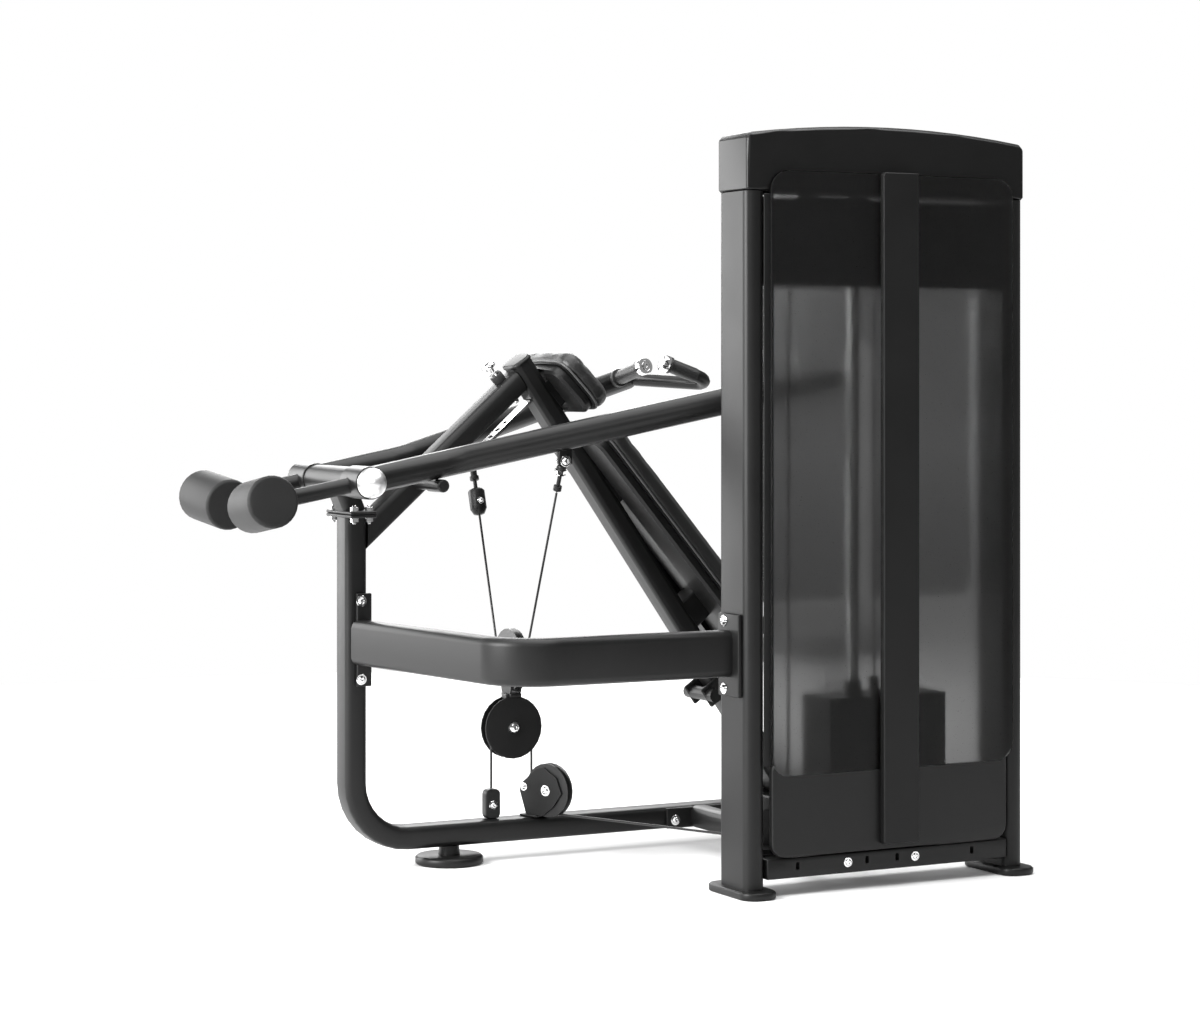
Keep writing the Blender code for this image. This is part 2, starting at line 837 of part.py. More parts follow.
slab(
    "centre_strip",
    rounded_rect(STRIP_SIZE[0], STRIP_SIZE[1], 0.006, 3),
    STRIP_SIZE[2],
    frame_at((STRIP_X, PANEL_Y - GAP, 0.092 + STRIP_SIZE[1] / 2), X, -Y),
    "tower_paint",
    bevel=0.002,
)

# inner head: carries the top pulleys and the guide rods
head = block(
    "inner_head",
    (inner_w - 0.002, 0.036, 0.185),
    (TOWER_W / 2, 0.099, HEAD_Z[1] - 0.0925),
    "tower_paint",
    bevel=0.003,
)
shelf_z = HEAD_Z[0] + 0.006
shelf = block("head shelf", (inner_w - 0.002, 0.080, 0.012), (TOWER_W / 2, 0.060, shelf_z))
cut(
    shelf,
    block("run room", (0.050, 0.050, 0.1), (TOWER_RUN.x, TOWER_RUN.y, shelf_z)),
    block("stack cable room", (0.036, 0.036, 0.1), (STACK_X, TOWER_RUN.y, shelf_z)),
)
fuse(head, shelf)

shield = slab(
    "front_shield",
    rounded_rect(inner_w - 0.012, 0.660, 0.020, 4),
    0.004,
    frame_at((TOWER_W / 2, TOWER_D + 0.002, 0.925), X, -Y),
    "smoked",
)
cut(
    shield,
    slab(
        "pin slot",
        rounded_rect(0.060, 0.700, 0.028, 4),
        0.1,
        frame_at((STACK_X, 0.17, 0.800), X, -Y),
    ),
)

for side, name in ((-1, "guide_rod_left"), (1, "guide_rod_right")):
    rod(
        name,
        (STACK_X + side * ROD_OFFSET, STACK_Y, 0.092),
        (STACK_X + side * ROD_OFFSET, STACK_Y, HEAD_Z[0] - GAP),
        ROD_R,
        "chrome",
        16,
    )

# ---- weight stack -------------------------------------------------------------------------------


def grooved_stack(name, low_z, count, kind):
    """Plates standing on each other, with the parting line of each one cut in."""
    height = count * PLATE_PITCH
    body = block(
        name,
        (STACK_W, STACK_D, height - 0.0006),
        (STACK_X, STACK_Y, low_z + height / 2),
        kind,
    )
    for k in range(1, count):
        z = low_z + k * PLATE_PITCH
        at = (STACK_X, STACK_Y, z)
        ring = block(f"{name} line {k}", (STACK_W + 0.1, STACK_D + 0.1, 0.0016), at)
        core = block(f"{name} core {k}", (STACK_W - 0.006, STACK_D - 0.006, 0.01), at)
        cut(ring, core)
        cut(body, ring)
    return body


base_top = STACK_BOTTOM_Z - GAP
stack_base = block(
    "stack_base",
    (inner_w - 0.002, 0.060, 0.010),
    (TOWER_W / 2, 0.076, 0.085),
    "tower_paint",
    bevel=0.001,
)
front_bar_y = 0.1325
front_bar_low = block(
    "front bar",
    (inner_w - 0.002, 0.036, 0.050),
    (TOWER_W / 2, front_bar_y - 0.018, 0.065),
    bevel=0.002,
)
buffers = [
    rod(
        f"buffer {side}",
        (STACK_X + side * ROD_OFFSET, STACK_Y, 0.0895),
        (STACK_X + side * ROD_OFFSET, STACK_Y, base_top),
        0.024,
        steps=16,
    )
    for side in (-1, 1)
]
fuse(stack_base, front_bar_low, *buffers)
for side in (-1, 1):
    seat = rod(
        f"rod seat {side}",
        (STACK_X + side * ROD_OFFSET, STACK_Y, 0.0917),
        (STACK_X + side * ROD_OFFSET, STACK_Y, 0.2),
        ROD_R + 0.0004,
        steps=16,
    )
    cut(stack_base, seat)

rest_top = STACK_BOTTOM_Z + RESTING_PLATES * PLATE_PITCH
lift_top = rest_top + LIFTED_PLATES * PLATE_PITCH
pin_z = rest_top + PLATE_PITCH / 2
resting = grooved_stack("stack_resting", STACK_BOTTOM_Z, RESTING_PLATES, "iron")
lifted = grooved_stack("stack_lifted", rest_top, LIFTED_PLATES, "iron")
stem_low = Vector((STACK_X, STACK_Y, STACK_BOTTOM_Z + 0.004))
stem_high = Vector((STACK_X, STACK_Y, rest_top + 0.004))
hanger = rod("hanger", stem_high + Z * 0.09, (STACK_X, STACK_Y, lift_top + 0.034), 0.011)
collars = [
    rod(
        f"collar {side}",
        (STACK_X + side * ROD_OFFSET, STACK_Y, lift_top - 0.004),
        (STACK_X + side * ROD_OFFSET, STACK_Y, lift_top + 0.028),
        ROD_R + 0.006,
        steps=16,
    )
    for side in (-1, 1)
]
fuse(lifted, rod("stem", stem_low, stem_high, 0.013), hanger, *collars)
cut(resting, rod("stem way", stem_low - Z * 0.05, stem_high + Z * 0.05, 0.015, steps=16))
for side in (-1, 1):
    way = rod(
        f"rod way {side}",
        (STACK_X + side * ROD_OFFSET, STACK_Y, STACK_BOTTOM_Z - 0.05),
        (STACK_X + side * ROD_OFFSET, STACK_Y, lift_top + 0.15),
        ROD_R + 0.0010,
        steps=16,
    )
    cut(resting, way)
    cut(lifted, way)
pin_start = Vector((STACK_X, STACK_Y + 0.002, pin_z))
cut(lifted, rod("pin way", pin_start, pin_start + Y * 0.2, 0.0056, steps=16))
pin_face = STACK_D / 2 - 0.002
turned(
    "selector_pin",
    [
        (0.0005, 0),
        (0.0005, 0.0040),
        (0.003, 0.0050),
        (pin_face + 0.006, 0.0050),
        (pin_face + 0.007, 0.0120),
        (pin_face + 0.010, 0.0135),
        (pin_face + 0.026, 0.0150),
        (pin_face + 0.032, 0.0120),
        (pin_face + 0.034, 0.0),
    ],
    pin_start,
    Y,
    "rubber",
    20,
)

# ---- cable drive --------------------------------------------------------------------------------

CABLE = circle(CABLE_R, 6)
block_mid = mid(BLOCK_X, FLOAT_Z)
equaliser_mid = mid(BLOCK_X, EQUALISER_Z)

left_run = block_mid - X * FLOAT_GROOVE_R
right_run = block_mid + X * FLOAT_GROOVE_R
away = Vector((TOWER_RUN.x - right_run.x, TOWER_RUN.y - right_run.y, 0)).normalized()
beside = Vector((away.y, -away.x, 0))  # towards -X, -Y: the outer side of the fixed pulley
fixed_r = FIXED_Z - FLOOR_CABLE_Z
fixed_mid = Vector((right_run.x, right_run.y, FIXED_Z)) + away * fixed_r
tower_mid = Vector((TOWER_RUN.x, TOWER_RUN.y, FLOOR_CABLE_Z + TOWER_PULLEY_R))
tower_mid -= away * TOWER_PULLEY_R
top_a = Vector((TOWER_RUN.x + TOP_PULLEY_R, STACK_Y, TOP_PULLEY_Z))
top_b = Vector((STACK_X - TOP_PULLEY_R, STACK_Y, TOP_PULLEY_Z))


def arc(centre, radius, first, second, start, end, steps=6):
    """Points round a centre in the plane of two unit vectors, angles in degrees."""
    points = []
    for i in range(steps + 1):
        a = math.radians(start + (end - start) * i / steps)
        points.append(centre + (first * math.cos(a) + second * math.sin(a)) * radius)
    return points


pulley("floating_pulley", block_mid, Y, FLOAT_GROOVE_R, 0.018, "plastic")
pulley("equaliser_pulley", equaliser_mid, X, EQUALISER_R, 0.018, "plastic")
pulley("fixed_pulley", fixed_mid, beside, fixed_r, 0.018, "plastic")
pulley("tower_pulley_low", tower_mid, beside, TOWER_PULLEY_R, 0.018, "plastic")
pulley("tower_pulley_left", top_a, Y, TOP_PULLEY_R, 0.018, "plastic")
pulley("tower_pulley_right", top_b, Y, TOP_PULLEY_R, 0.018, "plastic")

# one moving block: round cheeks below, swivel, equaliser cheeks above
moving_block = rod(
    "pulley_block",
    block_mid - Y * 0.0135,
    block_mid - Y * 0.0100,
    CHEEK_R,
    "steel",
    24,
    chamfer=0.001,
)
far_cheek = rod(
    "far cheek", block_mid + Y * 0.0100, block_mid + Y * 0.0135, CHEEK_R, steps=24, chamfer=0.001
)
bridge = block(
    "block bridge", (0.038, 0.027, 0.016), mid(BLOCK_X, FLOAT_Z + CHEEK_R - 0.002), bevel=0.002
)
swivel = rod(
    "swivel",
    mid(BLOCK_X, FLOAT_Z + CHEEK_R),
    mid(BLOCK_X, EQUALISER_Z - EQUALISER_R - 0.0105),
    0.009,
)
yoke_z = EQUALISER_Z - EQUALISER_R - 0.0145
yoke = block("yoke", (0.027, 0.050, 0.008), mid(BLOCK_X, yoke_z), bevel=0.0015)
upper_cheeks = [
    slab(
        f"equaliser cheek {side}",
        rounded_rect(0.050, EQUALISER_Z + 0.030 - yoke_z + 0.004, 0.022, 4),
        0.0035,
        frame_at(
            mid(BLOCK_X + side * 0.01175 - 0.00175, (EQUALISER_Z + 0.030 + yoke_z - 0.004) / 2),
            Y,
            X,
        ),
    )
    for side in (-1, 1)
]
fuse(moving_block, far_cheek, bridge, swivel, yoke, *upper_cheeks)

# cables: over the floating pulley, under the equaliser, and the runs between
sweep(
    "cable_over_block",
    CABLE,
    arc(block_mid, FLOAT_GROOVE_R, X, Z, 180, 0, 12),
    Y,
    "cable",
)
anchor_top = Vector((left_run.x, left_run.y, 0.158))
sweep("cable_run_left", CABLE, [anchor_top + Z * GAP, left_run - Z * 2 * GAP], Y, "cable")
right_low = Vector((right_run.x, right_run.y, FIXED_Z))
sweep("cable_run_right", CABLE, [right_low + Z * 2 * GAP, right_run - Z * 2 * GAP], Y, "cable")

main_path = [right_low]
main_path += arc(fixed_mid, fixed_r, -away, -Z, 0, 90, 6)[1:]
main_path += arc(tower_mid, TOWER_PULLEY_R, -Z, away, 0, 90, 6)
main_path += arc(top_a, TOP_PULLEY_R, -X, Z, 0, 90, 6)
main_path += arc(top_b, TOP_PULLEY_R, Z, X, 0, 90, 6)
sweep("cable_main", CABLE, main_path, beside, "cable")
stack_cable_top = Vector((STACK_X, STACK_Y, TOP_PULLEY_Z - GAP))
stack_cable_low = Vector((STACK_X, STACK_Y, lift_top + 0.034 + GAP))
sweep("cable_stack", CABLE, [stack_cable_low, stack_cable_top], Y, "cable")

tangents = {}
for suffix, side, hang in (("near", -1, 0.0645), ("far", 1, 0.1325)):
    top, pull = LINKS[suffix].top, LINKS[suffix].pull
    flat = Vector(((top.y - equaliser_mid.y) * side, top.z - equaliser_mid.z))
    heading = math.atan2(flat.y, flat.x)
    touch = heading - math.acos(EQUALISER_R / flat.length)
    tangents[suffix] = math.degrees(touch)
    contact = equaliser_mid + (Y * side * math.cos(touch) + Z * math.sin(touch)) * EQUALISER_R
    start = top + pull * hang
    end = contact + (start - contact).normalized() * 2 * GAP
    sweep(f"cable_upper_{suffix}", CABLE, [start, end], X, "cable")
sweep(
    "cable_under_equaliser",
    CABLE,
    arc(equaliser_mid, EQUALISER_R, -Y, Z, tangents["near"], -180 - tangents["far"], 10),
    X,
    "cable",
)

anchor = slab(
    "cable_anchor",
    rounded_rect(0.036, 0.066, 0.012, 4),
    0.022,
    frame_at(Vector((left_run.x, left_run.y + 0.011, 0.0913 + 0.033)), X, -Y),
    "steel",
    bevel=0.002,
)

# fixed pulley bracket on the base tube
cheek_outline = [
    (-0.056, -0.0570),
    (-0.010, -0.0570),
    (0.020, -0.036),
    (0.044, -0.004),
    (0.030, 0.030),
    (-0.006, 0.050),
    (-0.026, 0.046),
    (-0.074, 0.008),
    (-0.074, -0.006),
]
bracket = slab(
    "fixed_bracket", cheek_outline, 0.0035, frame_at(fixed_mid + beside * 0.0100, away, beside), "steel"
)
bracket_far = slab(
    "bracket far", cheek_outline, 0.0035, frame_at(fixed_mid - beside * 0.0135, away, beside)
)
bracket_foot = block(
    "bracket foot",
    (0.048, 0.044, 0.005),
    fixed_mid - away * 0.044 - Z * (FIXED_Z - 0.0938),
    bevel=0.001,
    turn=Matrix.Rotation(math.atan2(away.y, away.x), 4, "Z"),
)
guard_at = fixed_mid - away * 0.0645 + Z * 0.002
guard = rod("guard", guard_at - beside * 0.012, guard_at + beside * 0.012, 0.0035, steps=12)
fuse(bracket, bracket_far, bracket_foot, guard)

# cheeks that carry the tower's pulleys
tower_cheeks = [
    slab(
        f"tower cheek {side}",
        rounded_rect(0.034, 0.086, 0.012, 4),
        0.003,
        frame_at(tower_mid + beside * (side * 0.0118 - 0.0015) - Z * 0.018, away, beside),
    )
    for side in (-1, 1)
]
fuse(stack_base, *tower_cheeks)
axle_stubs = [
    rod(f"top axle {k}", at + Y * 0.0093, at + Y * 0.030, 0.009, steps=16)
    for k, at in enumerate((top_a, top_b))
]
fuse(head, *axle_stubs)

# ---- backrest: the rail is its spine ------------------------------------------------------------

pad_dir = Vector((math.cos(PAD_ANGLE), 0, -math.sin(PAD_ANGLE)))
pad_out = Vector((math.sin(PAD_ANGLE), 0, math.cos(PAD_ANGLE)))


def pad_outline(length, upper, lower, corner, bow):
    """A tapered pad with rounded corners, its upper edge bowed outwards."""
    half = length / 2
    corners = [
        (half, 0),
        (half, lower / 2),
        (bow - half, upper / 2),
        (-half, 0),
        (bow - half, -upper / 2),
        (half, -lower / 2),
        (half, 0),
    ]
    path = rounded_path([(x, y, 0) for x, y in corners], [corner, corner, 0.2, corner, corner], 5)
    return [(p.x, p.y) for p in path[:-1]]


def cushion(name, start, length, upper, lower, corner, bow, back, channel):
    """A pad with its moulded back cover, laid down the incline from its upper edge."""
    middle = start + pad_dir * (length / 2)
    body = slab(
        name,
        pad_outline(length, upper, lower, corner, bow),
        PAD_T,
        frame_at(middle, pad_dir, pad_out),
        "vinyl",
        bevel=0.012,
    )
    cover = slab(
        f"{name} cover",
        pad_outline(length - 0.030, upper - 0.040, lower - 0.040, corner * 0.8, bow),
        back + 0.004,
        frame_at(middle - pad_out * back, pad_dir, pad_out),
        bevel=0.006,
    )
    trough = slab(
        f"{name} trough",
        rounded_rect(length - 0.052, CHANNEL_W, 0.020, 4),
        0.1,
        frame_at(middle - pad_out * (back - channel), -pad_dir, -pad_out),
    )
    fuse(body, cover)
    cut(body, trough)
    return body


head_start = mid(-0.116, 1.127) - pad_out * 0.029
headrest = cushion(
    "headrest", head_start, HEADREST_LEN, 0.240, 0.288, 0.040, 0.006, COVER_T, CHANNEL_DEPTH
)
back_start = head_start + pad_dir * (HEADREST_LEN + PAD_SPLIT) - pad_out * PAD_STEP
back_pad = cushion(
    "back_pad", back_start, BACK_PAD_LEN, PAD_WIDTH, PAD_WIDTH, 0.050, 0.004, COVER_T, CHANNEL_DEPTH
)
rail_room = slab(
    "rail room",
    rounded_rect(0.94, CHANNEL_W, 0.010),
    0.2,
    frame_at(rail_top + rail_dir * 0.43 + rail_up * (TUBE_H / 2 + 0.0045), -rail_dir, -rail_up),
)
cut(headrest, rail_room)
cut(back_pad, rail_room)

# saddle plates between the rail and the pad covers
rail_face = rail_top + rail_up * (TUBE_H / 2 - 0.003)
pad_floor = COVER_T - CHANNEL_DEPTH
for k, (start, along) in enumerate(((head_start, 0.078), (back_start, 0.170), (back_start, 0.520))):
    seat_at = start + pad_dir * along - pad_out * (pad_floor + GAP)
    reach = (seat_at - rail_face).dot(rail_up) + 0.004
    saddle = slab(
        f"saddle {k}",
        rounded_rect(0.070, 0.064, 0.006, 3),
        reach,
        frame_at(seat_at - pad_out * reach, pad_dir, pad_out),
    )
    fuse(pad_rail, saddle)

# perforated strip under the incline brace, pinned to the rail
strip_thick = 0.006
strip_len = 0.190
strip_up = Vector((-brace_dir.z, 0, brace_dir.x))
strip_line = brace_foot - strip_up * (TUBE_H / 2 + 0.031)
rail_rear = rail_top - rail_up * (TUBE_H / 2)
strip_reach = (rail_rear - strip_line).dot(rail_up) / brace_dir.dot(rail_up)
strip_mid = strip_line + brace_dir * (strip_reach - strip_len / 2 - 0.0015)
strip = slab(
    "adjuster_strip",
    rounded_rect(strip_len, 0.034, 0.004, 3),
    strip_thick,
    frame_at(strip_mid, brace_dir, strip_up),
    "chrome",
)
for k in range(5):
    at = strip_mid + brace_dir * (-0.075 + 0.024 * k)
    slot = slab(
        f"strip slot {k}",
        rounded_rect(0.010, 0.018, 0.0045, 3),
        0.1,
        frame_at(at - strip_up * 0.05, brace_dir, strip_up),
    )
    cut(strip, slot)

# pull pin through the brace, its tip just above the strip
pin_along = (mid(-0.2085, 1.0400) - brace_foot).dot(brace_dir)
pin_foot = brace_foot + brace_dir * pin_along
cut(
    incline_brace,
    rod("pin bore", pin_foot - strip_up * 0.1, pin_foot + strip_up * 0.1, 0.0078, steps=20),
)
tube_half = TUBE_H / 2
turned(
    "pull_pin",
    [
        (-tube_half - 0.0120, 0),
        (-tube_half - 0.0120, 0.0050),
        (-tube_half - 0.0080, 0.0070),
        (tube_half + 0.001, 0.0070),
        (tube_half + 0.001, 0.0125),
        (tube_half + 0.026, 0.0125),
        (tube_half + 0.028, 0.0060),
        (tube_half + 0.038, 0.0060),
        (tube_half + 0.040, 0.0150),
        (tube_half + 0.046, 0.0160),
        (tube_half + 0.052, 0.0120),
        (tube_half + 0.054, 0.0),
    ],
    pin_foot,
    strip_up,
    "chrome",
    16,
)

# rail foot: eye on the rail between two ears on the base
hinge = rail_top + rail_dir * ((rail_top.z - 0.128) / math.sin(RAIL_ANGLE))
eye = rod("rail eye", hinge - Y * 0.0335, hinge + Y * 0.0335, 0.027, steps=20)
fuse(pad_rail, eye)
pad_block = block("hinge seat", (0.084, 0.096, 0.010), (hinge.x, MID_Y, 0.0915), bevel=0.002)
ears = [
    slab(
        f"hinge ear {side}",
        rounded_rect(0.060, 0.070, 0.022, 4),
        0.007,
        frame_at((hinge.x, MID_Y + side * 0.0395 + 0.0035, 0.1215), X, -Y),
    )
    for side in (-1, 1)
]
fuse(base_front, pad_block, *ears)

# ---- seat ---------------------------------------------------------------------------------------

seat_sleeve = sweep(
    "seat_sleeve",
    rounded_rect(0.064, 0.064, 0.012),
    [mid(SEAT_X, 0.0913), mid(SEAT_X, SLEEVE_TOP)],
    Y,
    "frame_paint",
)
cut(
    seat_sleeve,
    sweep(
        "sleeve bore",
        rounded_rect(0.0510, 0.0510, 0.009),
        [mid(SEAT_X, 0.110), mid(SEAT_X, SLEEVE_TOP + 0.1)],
        Y,
    ),
)
seat_post = sweep(
    "seat_post",
    rounded_rect(0.0500, 0.0500, 0.009),
    [mid(SEAT_X, 0.130), mid(SEAT_X, 0.400)],
    Y,
    "steel",
)
seat_plate = block("seat plate", (0.220, 0.160, 0.010), mid(SEAT_X - 0.025, 0.399), bevel=0.002)
fuse(seat_post, seat_plate)
slab(
    "seat_pad",
    rounded_rect(SEAT_SIZE[0], SEAT_SIZE[1], 0.060, 5),
    SEAT_T,
    Matrix.Translation(mid(SEAT_X - 0.025, SEAT_BASE_Z)),
    "vinyl",
    bevel=0.014,
)

# ---- origins, and the footprint centred on the world's origin -----------------------------------

ORIGINS = {
    "pulley_block": block_mid,
    "floating_pulley": block_mid,
    "equaliser_pulley": equaliser_mid,
    "fixed_pulley": fixed_mid,
    "tower_pulley_low": tower_mid,
    "tower_pulley_left": top_a,
    "tower_pulley_right": top_b,
    "stack_lifted": Vector((STACK_X, STACK_Y, rest_top)),
    "selector_pin": pin_start,
    "pull_pin": pin_foot,
    "seat_post": mid(SEAT_X, SLEEVE_TOP),
    "seat_pad": mid(SEAT_X, SLEEVE_TOP),
}
for suffix in LINKS:
    for part in ("press_arm", "counterweight", "pivot_cap", "grip_across", "grip_along"):
        ORIGINS[f"{part}_{suffix}"] = PIVOT
    ORIGINS[f"cable_link_{suffix}"] = LINKS[suffix].pivot
for part in ("pad_rail", "headrest", "back_pad", "adjuster_strip"):
    ORIGINS[part] = hinge
for part, point in ORIGINS.items():
    made = bpy.data.objects[part]
    made.data.transform(Matrix.Translation(-point))
    made.location = point

bpy.context.view_layer.update()
corners = [made.matrix_world @ Vector(c) for made in MACHINE.objects for c in made.bound_box]
low = Vector([min(c[k] for c in corners) for k in range(3)])
high = Vector([max(c[k] for c in corners) for k in range(3)])
carrier = bpy.data.objects.new("carrier", None)
HELPERS.objects.link(carrier)
for made in bpy.data.objects:
    if made is not carrier:
        made.parent = carrier
carrier.location = (-(low.x + high.x) / 2, -(low.y + high.y) / 2, 0)
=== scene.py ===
"""Looks for the incline chest press, built around its CAD frame."""

import json
import math

import bmesh
import bpy
from mathutils import Matrix, Vector
from mathutils.bvhtree import BVHTree


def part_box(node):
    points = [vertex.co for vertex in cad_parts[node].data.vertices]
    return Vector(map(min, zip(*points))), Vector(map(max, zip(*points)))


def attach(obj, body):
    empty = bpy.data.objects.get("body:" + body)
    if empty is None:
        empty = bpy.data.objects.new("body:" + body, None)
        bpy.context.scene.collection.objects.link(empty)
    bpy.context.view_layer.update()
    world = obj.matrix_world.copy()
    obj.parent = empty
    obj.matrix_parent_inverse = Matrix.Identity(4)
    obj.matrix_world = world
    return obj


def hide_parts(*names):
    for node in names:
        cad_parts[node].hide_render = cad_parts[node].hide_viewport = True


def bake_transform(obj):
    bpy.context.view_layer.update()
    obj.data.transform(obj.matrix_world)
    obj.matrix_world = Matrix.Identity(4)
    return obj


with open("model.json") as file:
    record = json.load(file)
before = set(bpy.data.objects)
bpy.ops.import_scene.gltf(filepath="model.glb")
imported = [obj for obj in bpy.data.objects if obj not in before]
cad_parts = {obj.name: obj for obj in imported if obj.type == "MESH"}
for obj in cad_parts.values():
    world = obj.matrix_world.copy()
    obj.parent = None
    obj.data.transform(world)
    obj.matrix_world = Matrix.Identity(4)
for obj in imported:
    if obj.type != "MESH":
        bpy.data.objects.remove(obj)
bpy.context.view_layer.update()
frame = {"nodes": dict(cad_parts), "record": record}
nodes = frame["nodes"]
joints = {j["name"]: j for j in frame["record"]["behaviour"]["joints"]}
scene = bpy.context.scene

X = Vector((1, 0, 0))
Y = Vector((0, 1, 0))
Z = Vector((0, 0, 1))
SMOOTH_ANGLE = math.radians(50)
WELD = 0.00002  # vertices closer than this are one


# ---- shader nodes -------------------------------------------------------------------------------

FLAT_COSINE = 0.995  # between a face's normal and its bevelled normal: no wear above this
WORN_COSINE = 0.93  # full wear below this
WEAR_WIDTH = 0.0022
PAINTED_SHADE_LOW_Z = 0.25  # heights between which the smoked sheets' tone changes: painted shade, darkest at the foot and lightest a little above the middle
PAINTED_SHADE_HIGH_Z = 1.45


def new_material(name):
    """A node material with its Principled shader and object coordinates."""
    material = bpy.data.materials.new(name)
    material.use_nodes = True
    tree = material.node_tree
    shader = next(n for n in tree.nodes if n.type == "BSDF_PRINCIPLED")
    coords = tree.nodes.new("ShaderNodeTexCoord")
    return material, tree, shader, coords.outputs["Object"]


def add_node(tree, kind, values=None, links=None):
    """A shader node with constants on some inputs and sockets linked into others."""
    node = tree.nodes.new(kind)
    for key, value in (values or {}).items():
        node.inputs[key].default_value = value
    for key, socket in (links or {}).items():
        tree.links.new(socket, node.inputs[key])
    return node


def noise(tree, coords, scale, detail=3.0, rough=0.5):
    """Cloudy noise, as a value from 0 to 1."""
    values = {"Scale": scale, "Detail": detail, "Roughness": rough}
    return add_node(tree, "ShaderNodeTexNoise", values, {"Vector": coords}).outputs["Fac"]


def ramp(tree, value, stops):
    """A value turned to greys by (position, grey) stops."""
    node = add_node(tree, "ShaderNodeValToRGB", links={"Fac": value})
    elements = node.color_ramp.elements
    while len(elements) < len(stops):
        elements.new(0.5)
    for element, (position, grey) in zip(elements, stops):
        element.position = position
        element.color = (grey, grey, grey, 1.0)
    return node.outputs["Color"]


def spread(tree, value, low, high):
    """A value from 0 to 1 mapped to low..high."""
    limits = {"To Min": low, "To Max": high}
    return add_node(tree, "ShaderNodeMapRange", limits, {"Value": value}).outputs["Result"]


def between(tree, value, start, end):
    """A value mapped to 0 at start and 1 at end."""
    limits = {"From Min": start, "From Max": end}
    return add_node(tree, "ShaderNodeMapRange", limits, {"Value": value}).outputs["Result"]


def bump(tree, shader, height, strength, distance, before=None):
    """Relief on a shader, laid over an earlier bump's normal if one is given."""
    values = {"Strength": strength, "Distance": distance}
    links = {"Height": height}
    if before is not None:
        links["Normal"] = before
    normal = add_node(tree, "ShaderNodeBump", values, links).outputs["Normal"]
    tree.links.new(normal, shader.inputs["Normal"])
    return normal


def mix(tree, factor, first, second):
    """Colours mixed by a factor socket; first and second are sockets."""
    node = tree.nodes.new("ShaderNodeMix")
    node.data_type = "RGBA"
    tree.links.new(factor, node.inputs["Factor"])
    tree.links.new(first, node.inputs["A"])
    tree.links.new(second, node.inputs["B"])
    return node.outputs["Result"]


def worn_edges(tree):
    """0 on flat faces, 1 along outside edges, from a bevelled normal."""
    bevel = add_node(tree, "ShaderNodeBevel", {"Radius": WEAR_WIDTH})
    bevel.samples = 4
    geometry = tree.nodes.new("ShaderNodeNewGeometry")
    dot = tree.nodes.new("ShaderNodeVectorMath")
    dot.operation = "DOT_PRODUCT"
    tree.links.new(bevel.outputs["Normal"], dot.inputs[0])
    tree.links.new(geometry.outputs["Normal"], dot.inputs[1])
    return between(tree, dot.outputs["Value"], FLAT_COSINE, WORN_COSINE)


def tint(tree, shader, value, stops):
    """Base colour from a value and its (position, grey) stops."""
    tree.links.new(ramp(tree, value, stops), shader.inputs["Base Color"])


def gloss(tree, shader, value, low, high):
    """Roughness between two limits, following a value."""
    tree.links.new(spread(tree, value, low, high), shader.inputs["Roughness"])


# ---- materials ----------------------------------------------------------------------------------


def paint(name, tone, roughness, grain=1.0, wear=0.3):
    """Powder coat: fine orange peel, faint mottling, edges rubbed a little lighter."""
    material, tree, shader, coords = new_material(name)
    cloud = noise(tree, coords, scale=9.0, detail=4.0)
    fine = noise(tree, coords, scale=900.0, detail=2.0)
    scuff = noise(tree, coords, scale=60.0, detail=5.0, rough=0.65)
    peel = noise(tree, coords, scale=420.0, detail=2.0)
    worn = tree.nodes.new("ShaderNodeMath")
    worn.operation = "MULTIPLY"
    tree.links.new(worn_edges(tree), worn.inputs[0])
    tree.links.new(spread(tree, scuff, 0.0, wear), worn.inputs[1])
    base = ramp(tree, cloud, [(0.3, tone * 0.88), (0.7, tone * 1.14)])
    rubbed = ramp(tree, fine, [(0.0, tone * 3.4 + 0.02), (1.0, tone * 4.2 + 0.03)])
    tree.links.new(mix(tree, worn.outputs[0], base, rubbed), shader.inputs["Base Color"])
    gloss(tree, shader, cloud, roughness - 0.05, roughness + 0.06)
    first = bump(tree, shader, peel, strength=0.10 * grain, distance=0.0006)
    bump(tree, shader, fine, strength=0.06 * grain, distance=0.0003, before=first)
    shader.inputs["Specular IOR Level"].default_value = 0.26
    return material


def metal(name, tone, roughness, brushed=0.0, smudge=0.05):
    """Plated or bare steel with handling marks; brushed gives fine lines."""
    material, tree, shader, coords = new_material(name)
    shader.inputs["Metallic"].default_value = 1.0
    marks = noise(tree, coords, scale=35.0, detail=5.0, rough=0.6)
    tint(tree, shader, marks, [(0.25, tone * 0.90), (0.75, min(tone * 1.05, 0.95))])
    gloss(tree, shader, marks, max(roughness - smudge, 0.02), roughness + smudge)
    if brushed:
        stretch = add_node(
            tree, "ShaderNodeMapping", {"Scale": (1.0, 1.0, 30.0)}, {"Vector": coords}
        )
        lines = noise(tree, stretch.outputs["Vector"], scale=60.0, detail=2.0)
        bump(tree, shader, lines, strength=brushed, distance=0.0002)
    else:
        waves = noise(tree, coords, scale=160.0, detail=3.0)
        bump(tree, shader, waves, strength=0.02, distance=0.0003)
    return material


